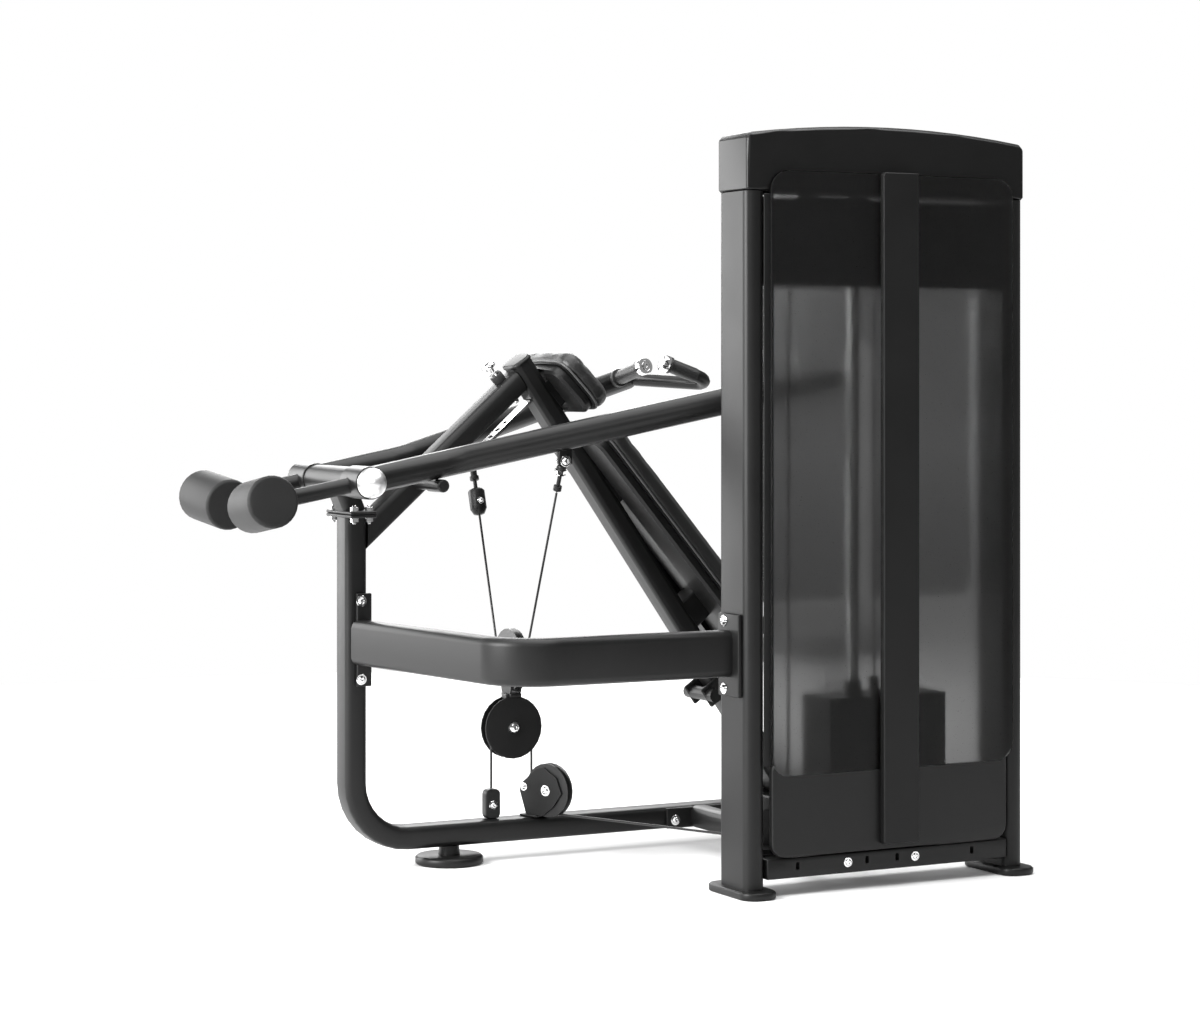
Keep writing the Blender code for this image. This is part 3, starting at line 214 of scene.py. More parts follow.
def vinyl(name, tone, roughness, scale=1.0):
    """Upholstery vinyl: cellular grain, soft creases, faint sheen."""
    material, tree, shader, coords = new_material(name)
    cells = add_node(tree, "ShaderNodeTexVoronoi", {"Scale": 520.0 * scale}, {"Vector": coords})
    cells.feature = "DISTANCE_TO_EDGE"
    grain = ramp(tree, cells.outputs["Distance"], [(0.0, 0.0), (0.12, 1.0)])
    folds = noise(tree, coords, scale=14.0, detail=4.0, rough=0.55)
    tint(tree, shader, folds, [(0.3, tone * 0.85), (0.7, tone * 1.2)])
    gloss(tree, shader, folds, roughness - 0.05, roughness + 0.07)
    first = bump(tree, shader, grain, strength=0.18, distance=0.0004)
    bump(tree, shader, folds, strength=0.12, distance=0.002, before=first)
    shader.inputs["Sheen Weight"].default_value = 0.08
    shader.inputs["Sheen Roughness"].default_value = 0.4
    return material


def rubber(name, tone, roughness, knurled=False):
    """Moulded rubber with fine pebbling; knurled adds the grips' coarser cells."""
    material, tree, shader, coords = new_material(name)
    fine = noise(tree, coords, scale=700.0, detail=2.0)
    cloud = noise(tree, coords, scale=20.0, detail=4.0)
    tint(tree, shader, cloud, [(0.3, tone * 0.85), (0.7, tone * 1.2)])
    gloss(tree, shader, cloud, roughness - 0.06, roughness + 0.06)
    first = bump(tree, shader, fine, strength=0.16, distance=0.0005)
    if knurled:
        cells = add_node(tree, "ShaderNodeTexVoronoi", {"Scale": 240.0}, {"Vector": coords})
        distance = cells.outputs["Distance"]
        bump(tree, shader, distance, strength=0.35, distance=0.0007, before=first)
    return material


def smoked_glass(name, tone, roughness):
    """Frosted, smoked sheet with a pebbled face, letting the stack show through; its tone carries
    painted shade, darker towards the bottom.
    """
    material, tree, shader, coords = new_material(name)
    shader.inputs["Transmission Weight"].default_value = 0.985
    shader.inputs["IOR"].default_value = 1.25
    pebble = noise(tree, coords, scale=420.0, detail=2.0)
    split = add_node(tree, "ShaderNodeSeparateXYZ", links={"Vector": coords})
    height = between(tree, split.outputs["Z"], PAINTED_SHADE_LOW_Z, PAINTED_SHADE_HIGH_Z)
    # painted shade: the sheet darker towards its foot and a little lighter above the middle
    stops = [(0.0, tone * 0.42), (0.30, tone * 0.85), (0.55, tone * 1.15), (1.0, tone)]
    tint(tree, shader, height, stops)
    gloss(tree, shader, pebble, roughness - 0.06, roughness + 0.06)
    bump(tree, shader, pebble, strength=0.22, distance=0.0006)
    return material


BLACK = paint("powder_black", tone=0.0070, roughness=0.40)
SATIN = paint("satin_black", tone=0.0060, roughness=0.34, grain=0.6, wear=0.2)
SHADE = paint("inside_black", tone=0.0050, roughness=0.50, grain=1.0, wear=0.1)
WEIGHT = paint("cast_weight", tone=0.0085, roughness=0.58, grain=1.6, wear=0.2)
STACK_GREY = paint("stack_steel", tone=0.012, roughness=0.42, grain=1.2, wear=0.4)
CHROME = metal("polished_chrome", tone=0.86, roughness=0.07)
STEEL = metal("zinc_steel", tone=0.42, roughness=0.30, brushed=0.25, smudge=0.08)
RODS = metal("ground_rod", tone=0.72, roughness=0.16, brushed=0.15)
VINYL = vinyl("black_vinyl", tone=0.0060, roughness=0.42)
COVER = paint("moulded_cover", tone=0.0055, roughness=0.36, grain=1.4, wear=0.12)
CAP_CHROME = metal("satin_chrome", tone=0.92, roughness=0.36)
# the welts' vinyl, painted lighter than the pads': a painted highlight along the piped seams
WELT_PAINTED_HIGHLIGHT = vinyl("welt_vinyl_painted_highlight", tone=0.045, roughness=0.42, scale=1.4)
GRIP = rubber("grip_rubber", tone=0.0065, roughness=0.48, knurled=True)
RUBBER = rubber("foot_rubber", tone=0.0085, roughness=0.60)
NYLON = rubber("pulley_nylon", tone=0.0080, roughness=0.36)
CABLE = rubber("cable_jacket", tone=0.0060, roughness=0.30)
GLASS = smoked_glass("smoked_window", tone=0.27, roughness=0.30)
SHIELD = smoked_glass("front_sheet", tone=0.50, roughness=0.26)

FINISHES = {
    "press_arm": SATIN,
    "counterweight": WEIGHT,
    "pivot_cap": CAP_CHROME,
    "grip": GRIP,
    "cable_link": BLACK,
    "cable": CABLE,
    "cable_anchor": BLACK,
    "floating_pulley": NYLON,
    "equaliser_pulley": NYLON,
    "fixed_pulley": NYLON,
    "tower_pulley": NYLON,
    "guide_rod": RODS,
    "stack": STACK_GREY,
    "stack_base": SHADE,
    "selector_pin": CHROME,
    "adjuster_strip": CHROME,
    "pull_pin": CHROME,
    "rear_window": GLASS,
    "inner_head": SHADE,
    "front_shield": SHIELD,
    "centre_strip": SHADE,
    "headrest": VINYL,
    "back_pad": VINYL,
    "seat_pad": VINYL,
    "seat_post": STEEL,
    "tower_cap": SATIN,
}


def finish_of(node):
    """The finish with the longest matching name; the frame's powder coat otherwise."""
    fits = [k for k in FINISHES if node.startswith(k)]
    return FINISHES[max(fits, key=len)] if fits else BLACK


# ---- the CAD nodes' looks -----------------------------------------------------------------------


def smoothing_group():
    """Joins the frame's split vertices and shades smooth across shallow edges."""
    group = bpy.data.node_groups.new("soft_shading", "GeometryNodeTree")
    group.interface.new_socket("Geometry", in_out="INPUT", socket_type="NodeSocketGeometry")
    group.interface.new_socket("Geometry", in_out="OUTPUT", socket_type="NodeSocketGeometry")
    start = group.nodes.new("NodeGroupInput")
    end = group.nodes.new("NodeGroupOutput")
    weld = group.nodes.new("GeometryNodeMergeByDistance")
    weld.inputs["Distance"].default_value = WELD
    faces = group.nodes.new("GeometryNodeSetShadeSmooth")
    faces.domain = "FACE"
    edges = group.nodes.new("GeometryNodeSetShadeSmooth")
    edges.domain = "EDGE"
    angle = group.nodes.new("GeometryNodeInputMeshEdgeAngle")
    shallow = group.nodes.new("FunctionNodeCompare")
    shallow.operation = "LESS_THAN"
    shallow.inputs["B"].default_value = SMOOTH_ANGLE
    link = group.links.new
    link(start.outputs[0], weld.inputs["Geometry"])
    link(weld.outputs["Geometry"], faces.inputs["Geometry"])
    link(faces.outputs["Geometry"], edges.inputs["Geometry"])
    link(angle.outputs["Unsigned Angle"], shallow.inputs["A"])
    link(shallow.outputs["Result"], edges.inputs["Shade Smooth"])
    link(edges.outputs["Geometry"], end.inputs[0])
    return group


SOFT_SHADING = smoothing_group()


def smooth(obj):
    """Rounded look over the facets, with creases kept."""
    if "custom_normal" in obj.data.attributes:
        obj.data.attributes.remove(obj.data.attributes["custom_normal"])
    shading = obj.modifiers.new("shading", "NODES")
    shading.node_group = SOFT_SHADING
    weighted = obj.modifiers.new("weighted", "WEIGHTED_NORMAL")
    weighted.keep_sharp = True


def dress(obj, material):
    """Gives an object one material in place of any it has."""
    obj.data.materials.clear()
    obj.data.materials.append(material)


for node_name, node_object in nodes.items():
    smooth(node_object)
    dress(node_object, finish_of(node_name))


# ---- building helpers ---------------------------------------------------------------------------


def new_object(name, data):
    """An object in the scene, from a mesh, a light or a camera."""
    obj = bpy.data.objects.new(name, data)
    scene.collection.objects.link(obj)
    return obj


def piece(name, mesh, material, body=None):
    """A finished mesh as a named piece, riding on a CAD body if one is given."""
    obj = new_object(name, mesh)
    dress(obj, material)
    if body:
        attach(obj, body)
    return obj


def finish_mesh(bm, name, angle=SMOOTH_ANGLE):
    """Turns a bmesh into a mesh shaded smooth, with edges sharp beyond an angle."""
    bmesh.ops.recalc_face_normals(bm, faces=bm.faces)
    mesh = bpy.data.meshes.new(name)
    bm.to_mesh(mesh)
    bm.free()
    mesh.shade_smooth()
    mesh.set_sharp_from_angle(angle=angle)
    return mesh


def basis(axis):
    """Two unit vectors square to an axis."""
    side = axis.cross(Z) if abs(axis.z) < 0.9 else axis.cross(X)
    side.normalize()
    return side, axis.cross(side)


def ring_at(bm, centre, u, v, radius, steps):
    """Adds a circle of vertices in the plane of two unit vectors."""
    turns = [math.tau * k / steps for k in range(steps)]
    return [bm.verts.new(centre + (u * math.cos(a) + v * math.sin(a)) * radius) for a in turns]


def skin(bm, first, second):
    """Adds the faces between two rings, either of which may be a single point."""
    steps = max(len(first), len(second))
    for k in range(steps):
        n = (k + 1) % steps
        corners = [
            first[k % len(first)],
            first[n % len(first)],
            second[n % len(second)],
            second[k % len(second)],
        ]
        kept = list(dict.fromkeys(corners))
        if len(kept) > 2:
            bm.faces.new(kept)


def lathe_into(bm, profile, origin, axis, steps):
    """Adds a body of revolution; profile is (along, radius) from end to end."""
    axis = axis.normalized()
    u, v = basis(axis)
    rings = []
    for along, radius in profile:
        centre = origin + axis * along
        point = radius <= 0
        rings.append([bm.verts.new(centre)] if point else ring_at(bm, centre, u, v, radius, steps))
    for first, second in zip(rings, rings[1:]):
        skin(bm, first, second)
    for ring in (rings[0], rings[-1]):
        if len(ring) > 2:
            bm.faces.new(ring)


def lathe(name, profile, origin, axis, material, body, steps=40):
    """A body of revolution as a piece."""
    bm = bmesh.new()
    lathe_into(bm, profile, origin, axis, steps)
    return piece(name, finish_mesh(bm, name), material, body)


def cable_between(name, points, radius, material, steps=12):
    """A round cable with a ring at each point."""
    bm = bmesh.new()
    rings = []
    for k, point in enumerate(points):
        before = points[max(k - 1, 0)]
        after = points[min(k + 1, len(points) - 1)]
        rings.append(ring_at(bm, point, *basis((after - before).normalized()), radius, steps))
    for first, second in zip(rings, rings[1:]):
        skin(bm, first, second)
    bm.faces.new(rings[0])
    bm.faces.new(rings[-1])
    return piece(name, finish_mesh(bm, name), material)


def painted_shade_box(name, place, size, bevel, segments, body):
    """A box with rounded edges in the tower's inside black, set in place as painted shade."""
    bm = bmesh.new()
    bmesh.ops.create_cube(bm, size=1.0)
    bmesh.ops.transform(bm, matrix=place @ Matrix.Diagonal((*size, 1.0)), verts=bm.verts)
    bmesh.ops.bevel(bm, geom=bm.edges[:], offset=bevel, segments=segments, affect="EDGES")
    return piece(name, finish_mesh(bm, name), SHADE, body)


# ---- measuring the CAD nodes --------------------------------------------------------------------

RAY_BACK = 0.4  # how far before its point a ray starts
CLOSE_RAY = 0.05  # for a place with another part in front of it

trees = {}


def surface(node, near, towards, back=RAY_BACK):
    """Where a ray that starts a little back from a point first meets a CAD node."""
    if node not in trees:
        mesh = nodes[node].data
        trees[node] = BVHTree.FromPolygons(
            [v.co for v in mesh.vertices], [list(p.vertices) for p in mesh.polygons]
        )
    direction = towards.normalized()
    hit, normal, _, _ = trees[node].ray_cast(near - direction * back, direction)
    return (hit, normal) if hit is not None else (near, -direction)


def from_corner(node, x, y, z):
    """A point measured from the lowest corner of a CAD node's box."""
    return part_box(node)[0] + Vector((x, y, z))


def middle_of(node):
    """The middle of a CAD node's box."""
    low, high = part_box(node)
    return (low + high) / 2


def foot_of(node, depth):
    """Box of a node's vertices within a depth of its lowest point."""
    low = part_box(node)[0].z
    points = [v.co for v in nodes[node].data.vertices if v.co.z < low + depth]
    return (
        Vector(min(p[i] for p in points) for i in range(3)),
        Vector(max(p[i] for p in points) for i in range(3)),
    )


def by_direction(faces):
    """Faces in groups that look the same way, to two decimals of their normals."""
    groups = {}
    for face in faces:
        groups.setdefault(tuple(round(c, 2) for c in face.normal), []).append(face)
    return list(groups.values())


def area_of(faces):
    """The faces' areas together."""
    return sum(f.area for f in faces)


def end_faces(node):
    """The two largest flat faces of a grip, its ends, as (centre, normal)."""
    groups = by_direction(nodes[node].data.polygons)
    ends = []
    for faces in sorted(groups, key=area_of, reverse=True)[:2]:
        centre = sum((f.center * f.area for f in faces), Vector()) / area_of(faces)
        ends.append((centre, faces[0].normal.copy()))
    return ends


def facing(node, towards):
    """Normal of a pad's largest face among those that look a given way."""
    faces = [p for p in nodes[node].data.polygons if p.normal.dot(towards) > 0.5]
    largest = max(by_direction(faces), key=area_of)
    return sum((p.normal for p in largest), Vector()).normalized()


# ---- bolts and nuts -----------------------------------------------------------------------------

SINK = 0.001  # how far a washer reaches into the face under it
WASHER_T = 0.0016
BOLT_CREASE = math.radians(35)
NUT_CREASE = math.radians(25)


def bolt(name, node, place, towards, body, radius, back=RAY_BACK):
    """A button-head socket screw on its washer, seated on the surface a ray meets."""
    seat, normal = surface(node, place, towards, back)
    rim = radius * 1.45
    washer = [(-SINK, 0), (-SINK, rim), (0.0010, rim), (WASHER_T, radius * 1.36), (WASHER_T, 0)]
    head = [
        (0.0010, 0),
        (0.0010, radius),
        (0.0032, radius),
        (0.0052, radius * 0.86),
        (0.0064, radius * 0.60),
        (0.0066, radius * 0.50),
        (0.0066, radius * 0.46),
        (0.0036, radius * 0.46),
        (0.0032, 0),
    ]
    bm = bmesh.new()
    lathe_into(bm, washer, seat, normal, 28)
    lathe_into(bm, head, seat, normal, 24)
    return piece(name, finish_mesh(bm, name, BOLT_CREASE), CHROME, body)


def hexagon_into(bm, origin, axis, across, low, high):
    """Adds a hexagonal prism with chamfered corners: a nut or a bolt head."""
    corner = across / math.sqrt(3)
    chamfer = corner * 0.12
    shoulder = high - chamfer * 0.5
    profile = [(low, 0), (low, corner), (shoulder, corner), (high, corner - chamfer), (high, 0)]
    lathe_into(bm, profile, origin, axis, 6)


def nut(name, node, place, towards, body, across, height, back):
    """A washer, hexagon nut and a short thread end, seated on the surface a ray meets."""
    seat, normal = surface(node, place, towards, back)
    rim = across * 0.62
    core = across * 0.28
    end = height + 0.004
    washer = [(-SINK, 0), (-SINK, rim), (WASHER_T, rim), (WASHER_T, 0)]
    thread = [(0.0, 0), (0.0, core), (height - 0.001, core), (height + 0.003, core)]
    thread += [(end, across * 0.22), (end, 0)]
    bm = bmesh.new()
    lathe_into(bm, washer, seat, normal, 24)
    hexagon_into(bm, seat, normal, across, 0.001, height)
    lathe_into(bm, thread, seat, normal, 16)
    return piece(name, finish_mesh(bm, name, NUT_CREASE), CHROME, body)

FRAME_BOLTS = (  # name, node, place from the node's lowest corner, direction, head radius
    ("post_bolt_0", "mid_brace", (0.0255, 0.62, 0.184), Y, 0.0082),
    ("post_bolt_1", "mid_brace", (0.0255, 0.62, 0.0155), Y, 0.0082),
    ("plate_bolt_0", "mid_brace", (0.5924, 0.058, 0.162), X, 0.0082),
    ("plate_bolt_1", "mid_brace", (0.5924, 0.058, 0.022), X, 0.0082),
    ("link_bolt", "base_link", (0.0215, 0.50, 0.0216), Y, 0.0080),
    ("crossbar_bolt_0", "tower_crossbar", (0.195, 0, 0.0225), Y, 0.0070),
    ("crossbar_bolt_1", "tower_crossbar", (0.3626, 0, 0.0225), Y, 0.0070),
)
for name, node, place, towards, radius in FRAME_BOLTS:
    bolt(name, node, from_corner(node, *place), towards, "frame", radius)

# four bolts through the post's flange, heads above and nuts below
FLANGE_DEPTH = 0.009  # holds the vertices of the pivot head's flange
FLANGE_EDGE = 0.013  # from the flange's edges to a bolt's middle
FLANGE_RAY = 0.03  # short enough to start under the head tube
FLANGE_NUT = (0.015, 0.009)  # across flats, height

flange_low, flange_high = foot_of("pivot_head", FLANGE_DEPTH)
corners = [
    Vector((x, y, flange_low.z))
    for x in (flange_low.x + FLANGE_EDGE, flange_high.x - FLANGE_EDGE)
    for y in (flange_low.y + FLANGE_EDGE, flange_high.y - FLANGE_EDGE)
]
for k, corner in enumerate(corners):
    nut(f"flange_head_{k}", "pivot_head", corner, -Z, "frame", *FLANGE_NUT, FLANGE_RAY)
    nut(f"flange_nut_{k}", "rear_frame", corner, Z, "frame", *FLANGE_NUT, FLANGE_RAY)


# ---- pulley pivots ------------------------------------------------------------------------------

BLOCK_PIVOT = (  # profiles are (along the axis, radius)
    (-0.0005, 0),
    (-0.0005, 0.0135),
    (0.0022, 0.0135),
    (0.0024, 0.0100),
    (0.0062, 0.0094),
    (0.0080, 0.0060),
    (0.0082, 0.0040),
    (0.0050, 0.0036),
    (0.0050, 0),
)
EQUALISER_PIVOT = (
    (0.0085, 0.004),
    (0.0136, 0.0125),
    (0.0150, 0.0125),
    (0.0152, 0.0085),
    (0.0190, 0.0080),
    (0.0200, 0.0060),
    (0.0200, 0),
)
CHEEK_FACE = 0.0045  # from the floating pulley's side to the outer face of its cheek
GUARD_BACK = 0.062  # from the fixed pulley's axle to its bracket's second bolt
GUARD_RISE = 0.004

block_face = middle_of("floating_pulley")
block_face.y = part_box("floating_pulley")[0].y - CHEEK_FACE
lathe("block_pivot", BLOCK_PIVOT, block_face, -Y, CHROME, "moving_block")
equaliser_mid = middle_of("equaliser_pulley")
for k, side in enumerate((-1, 1)):
    name = f"equaliser_pivot_{k}"
    lathe(name, EQUALISER_PIVOT, equaliser_mid, X * side, CHROME, "moving_block")

anchor_spot = from_corner("cable_anchor", 0.018, 0, 0.030)
bolt("anchor_bolt", "cable_anchor", anchor_spot, Y, "frame", 0.0070)

fixed_mid = middle_of("fixed_pulley")
cable_way = middle_of("tower_pulley_low") - fixed_mid
cable_way.z = 0
cable_way.normalize()
bracket_in = Vector((-cable_way.y, cable_way.x, 0))
bolt("bracket_bolt_0", "fixed_bracket", fixed_mid, bracket_in, "frame", 0.0085)
guard_spot = fixed_mid - cable_way * GUARD_BACK + Z * GUARD_RISE
bolt("bracket_bolt_1", "fixed_bracket", guard_spot, bracket_in, "frame", 0.0065)


# ---- clevises where the cables hang from the arms -----------------------------------------------

CLEVIS_END = (  # one half of the pin, from its shank to its end
    (0.0105, 0.0040),
    (0.0105, 0.0085),
    (0.0120, 0.0085),
    (0.0145, 0.0082),
    (0.0165, 0.0060),
    (0.0165, 0),
)
CLEVIS_PIN = [(-along, radius) for along, radius in reversed(CLEVIS_END)] + list(CLEVIS_END)
TOP_RING = 0.003  # depth that holds the cable's upper end
LINK_NUT_AT = 0.020  # distances down the cable from the pivot
LINK_NUT_T = 0.008
LINK_NUT_ACROSS = 0.0225
LOCK_AT = 0.030
LOCK_HALF = 0.001
LOCK_R = 0.0118

for suffix in ("near", "far"):
    body = f"link_{suffix}"
    cable = [v.co for v in nodes[f"cable_upper_{suffix}"].data.vertices]
    cable_high = max(p.z for p in cable)
    ring = [p for p in cable if p.z > cable_high - TOP_RING]
    pivot = Vector(joints[f"link_{suffix}_tilt"]["pos_m"])
    down = (sum(ring, Vector()) / len(ring) - pivot).normalized()
    lathe(f"clevis_pin_{suffix}", CLEVIS_PIN, pivot, Y, CHROME, body, 24)
    name = f"clevis_bolt_{suffix}"
    bolt(name, f"press_arm_{suffix}", pivot, Y, f"arm_{suffix}", 0.0085, CLOSE_RAY)
    name = f"link_nut_{suffix}"
    bm = bmesh.new()
    hexagon_into(bm, pivot, down, LINK_NUT_ACROSS, LINK_NUT_AT, LINK_NUT_AT + LINK_NUT_T)
    low, high = LOCK_AT - LOCK_HALF, LOCK_AT + LOCK_HALF
    lathe_into(bm, [(low, 0), (low, LOCK_R), (high, LOCK_R), (high, 0)], pivot, down, 20)
    piece(name, finish_mesh(bm, name, NUT_CREASE), CHROME, body)

far_low, far_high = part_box("cable_link_far")
link_spot = Vector(((far_low.x + far_high.x) / 2 - 0.001, far_low.y, far_low.z + 0.036))
bolt("link_block_bolt", "cable_link_far", link_spot, Y, "link_far", 0.0055)


# ---- handles ------------------------------------------------------------------------------------

END_SLEEVE = (  # chrome sleeve over a grip's free end, closed by a screwed disc
    (-0.016, 0.0180),
    (-0.016, 0.0196),
    (-0.0145, 0.0204),
    (0.0005, 0.0204),
    (0.0022, 0.0192),
    (0.0024, 0.0135),
    (0.0010, 0.0130),
    (0.0010, 0.0096),
    (0.0030, 0.0092),
    (0.0034, 0.0050),
    (0.0018, 0.0046),
    (0.0018, 0),
)
ROOT_RING = (  # black ring where the across grip leaves the arm
    (-0.011, 0.0200),
    (-0.011, 0.0216),
    (-0.009, 0.0224),
    (-0.002, 0.0224),
    (0.0, 0.0216),
    (0.0, 0.0200),
)
ROOT_SLEEVE = (  # wide chrome collar where the along grip leaves the arm
    (-0.017, 0.0180),
    (-0.017, 0.0200),
    (-0.0155, 0.0208),
    (-0.0025, 0.0208),
    (0.0008, 0.0200),
    (0.0022, 0.0180),
    (0.0024, 0.0120),
    (0.0010, 0.0115),
    (0.0010, 0),
)

for suffix in ("near", "far"):
    arm = f"arm_{suffix}"
    across_root, across_tip = end_faces(f"grip_across_{suffix}")
    along_root, _ = end_faces(f"grip_along_{suffix}")
    lathe(f"end_sleeve_{suffix}", END_SLEEVE, *across_tip, CHROME, arm)
    lathe(f"root_ring_{suffix}", ROOT_RING, *across_root, RUBBER, arm)
    lathe(f"root_sleeve_{suffix}", ROOT_SLEEVE, *along_root, CHROME, arm)


# ---- backrest adjuster --------------------------------------------------------------------------

PIN_SLEEVE = (  # measured from the knob
    (-0.0515, 0.0118),
    (-0.0515, 0.0140),
    (-0.0490, 0.0146),
    (-0.0345, 0.0146),
    (-0.0325, 0.0136),
    (-0.0325, 0.0118),
)
KNOB_DEPTH = 0.004
SLOT_SHADE = (0.168, 0.026, 0.0012)
SLOT_SHADE_DROP = 0.0041  # from the strip's middle to the painted shade sheet's, on the lower side

pin_axis = Vector(joints["pin_pull"]["axis"]).normalized()
pin_points = [v.co for v in nodes["pull_pin"].data.vertices]
pin_mid = sum(pin_points, Vector()) / len(pin_points)
if (pin_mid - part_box("adjuster_strip")[0]).dot(pin_axis) < 0:
    pin_axis = -pin_axis
pin_top = max(p.dot(pin_axis) for p in pin_points)
knob = [p for p in pin_points if p.dot(pin_axis) > pin_top - KNOB_DEPTH]
knob_at = sum(knob, Vector()) / len(knob)
lathe("pin_sleeve", PIN_SLEEVE, knob_at, pin_axis, RUBBER, "pin", 32)

strip_face = max(by_direction(nodes["adjuster_strip"].data.polygons), key=area_of)
strip_out = strip_face[0].normal.copy()
if strip_out.z < 0:
    strip_out.negate()
strip_along = strip_out.cross(Y).normalized()
strip_turn = Matrix((strip_along, Y, strip_out)).transposed().to_4x4()
# painted shade: a dark sheet just under the adjuster strip, so its slots look dark
slot_shade_at = middle_of("adjuster_strip") - strip_out * SLOT_SHADE_DROP
slot_shade_place = Matrix.Translation(slot_shade_at) @ strip_turn
painted_shade_box("strip_slot_shade", slot_shade_place, SLOT_SHADE, 0.0004, 2, "backrest")


# ---- painted shade: dark strips in the gaps beside the tower's window ---------------------------

SHADE_STRIP = (0.023, 0.004)
SHADE_STRIP_SHIFT = 0.0015
SHADE_STRIP_GAP = 0.0006  # between the window's front and the dark strips

head_low, head_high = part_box("inner_head")
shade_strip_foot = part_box("lower_panel")[1].z
shade_strip_tall = head_high.z - shade_strip_foot
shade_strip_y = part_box("rear_window")[1].y + SHADE_STRIP_GAP + SHADE_STRIP[1] / 2
# painted shade: a dark strip down each side of the window
for name, x in (("shade_strip_left", head_low.x + SHADE_STRIP_SHIFT), ("shade_strip_right", head_high.x - SHADE_STRIP_SHIFT)):
    shade_strip_place = Matrix.Translation((x, shade_strip_y, shade_strip_foot + shade_strip_tall / 2))
    painted_shade_box(name, shade_strip_place, (*SHADE_STRIP, shade_strip_tall), 0.0012, 3, "frame")


# ---- upholstery ---------------------------------------------------------------------------------

VOXEL = 0.0055
CLOTH_FRAMES = 20
CLOTH_PRESSURE = 4.0
CLOTH_MASS = 0.3
CLOTH_QUALITY = 5
PAD_T = 0.048  # stuffed thickness in front of the moulded cover
SEAM_BACK = PAD_T - 0.0005  # from a pad's front to its seam
PAD_INSET = 0.0035  # room left in front for the swelling
SIDE_FACTOR = 1.6  # times as much at the corner farthest from the middle
WELT_R = 0.0024
WELT_SIDES = 10
WELT_SPACING = 0.006
WELT_PASSES = 6  # of smoothing along the seam
BACK_WELT = (0.0035, 0.0008)  # in front of the seam, and tucked in towards the middle
SEAT_WELT = (0.045, 0.0042)  # behind the front, and tucked in
COVER_CREASE = math.radians(40)
COVER_BEVEL = 0.0015
BEVEL_ANGLE = math.radians(35)  # edges sharper than this are bevelled


def inflate(obj, cap):
    """Cloth under pressure, with its swelling held to a cap, applied to the mesh."""
    before = [v.co.copy() for v in obj.data.vertices]
    cloth = obj.modifiers.new("cloth", "CLOTH")
    settings = cloth.settings
    settings.use_pressure = True
    settings.uniform_pressure_force = CLOTH_PRESSURE
    settings.effector_weights.gravity = 0
    settings.quality = CLOTH_QUALITY
    settings.mass = CLOTH_MASS
    cloth.point_cache.frame_start = 1
    cloth.point_cache.frame_end = CLOTH_FRAMES
    for step in range(1, CLOTH_FRAMES + 1):
        scene.frame_set(step)
    shape = obj.evaluated_get(bpy.context.evaluated_depsgraph_get())
    after = [v.co.copy() for v in shape.data.vertices]
    obj.modifiers.remove(cloth)
    scene.frame_set(1)
    for vertex, old, new in zip(obj.data.vertices, before, after):
        move = new - old
        if move.length > cap:
            move = move.normalized() * cap
        vertex.co = old + move


def remesh(obj):
    """Gives an object an even mesh, fine enough for cloth."""
    modifier = obj.modifiers.new("remesh", "REMESH")
    modifier.mode = "VOXEL"
    modifier.voxel_size = VOXEL
    modifier.use_smooth_shade = True
    shape = obj.evaluated_get(bpy.context.evaluated_depsgraph_get())
    mesh = bpy.data.meshes.new_from_object(shape)
    obj.modifiers.remove(modifier)
    obj.data = mesh


def welded_copy(node):
    """A CAD node's mesh as a bmesh with its split vertices joined."""
    bm = bmesh.new()
    bm.from_mesh(nodes[node].data)
    bmesh.ops.remove_doubles(bm, verts=bm.verts, dist=WELD)
    return bm


def cut_at(bm, origin, normal, keep_front):
    """Cuts a bmesh at a plane, keeps its front side or only the cut, gives the cut's edges."""
    result = bmesh.ops.bisect_plane(
        bm,
        geom=bm.verts[:] + bm.edges[:] + bm.faces[:],
        plane_co=origin,
        plane_no=normal,
        clear_inner=True,
        clear_outer=not keep_front,
    )
    return [e for e in result["geom_cut"] if isinstance(e, bmesh.types.BMEdge)]


def front_part(node, origin, normal):
    """What lies on the side a normal points to, as a closed bmesh."""
    bm = welded_copy(node)
    bmesh.ops.edgenet_fill(bm, edges=cut_at(bm, origin, normal, keep_front=True))
    return bm


def outline_at(node, origin, normal):
    """The outer loop where a plane crosses a CAD node, as points in order."""
    bm = welded_copy(node)
    linked = {}
    for edge in cut_at(bm, origin, normal, keep_front=False):
        for v in edge.verts:
            linked.setdefault(v, []).append(edge.other_vert(v))
    left = list(linked)
    loops = []
    while left:
        loop = [min(left, key=lambda v: v.co.x)]
        while ahead := [v for v in linked[loop[-1]] if v not in loop]:
            loop.append(ahead[0])
        left = [v for v in left if v not in loop]
        loops.append([v.co.copy() for v in loop])
    bm.free()
    return max(loops, key=lambda loop: sum((a - b).length for a, b in zip(loop, loop[1:])))


def evenly(loop, spacing):
    """Points at an even spacing round a closed loop."""
    points = loop + [loop[0]]
    lengths = [(b - a).length for a, b in zip(points, points[1:])]
    total = sum(lengths)
    count = int(total / spacing)
    made, k, walked = [], 0, 0.0
    for i in range(count):
        target = total * i / count
        while walked + lengths[k] < target:
            walked += lengths[k]
            k += 1
        made.append(points[k].lerp(points[k + 1], (target - walked) / lengths[k]))
    return made


def seam_loop(node, origin, normal, tuck):
    """A pad's outline at a plane, smoothed and tucked in towards its middle."""
    loop = evenly(outline_at(node, origin, normal), WELT_SPACING)
    centre = sum(loop, Vector()) / len(loop)
    for _ in range(WELT_PASSES):
        ahead = loop[1:] + loop[:1]
        loop = [(loop[k - 1] + p * 2 + ahead[k]) / 4 for k, p in enumerate(loop)]
    return [p + (centre - p).normalized() * tuck for p in loop]


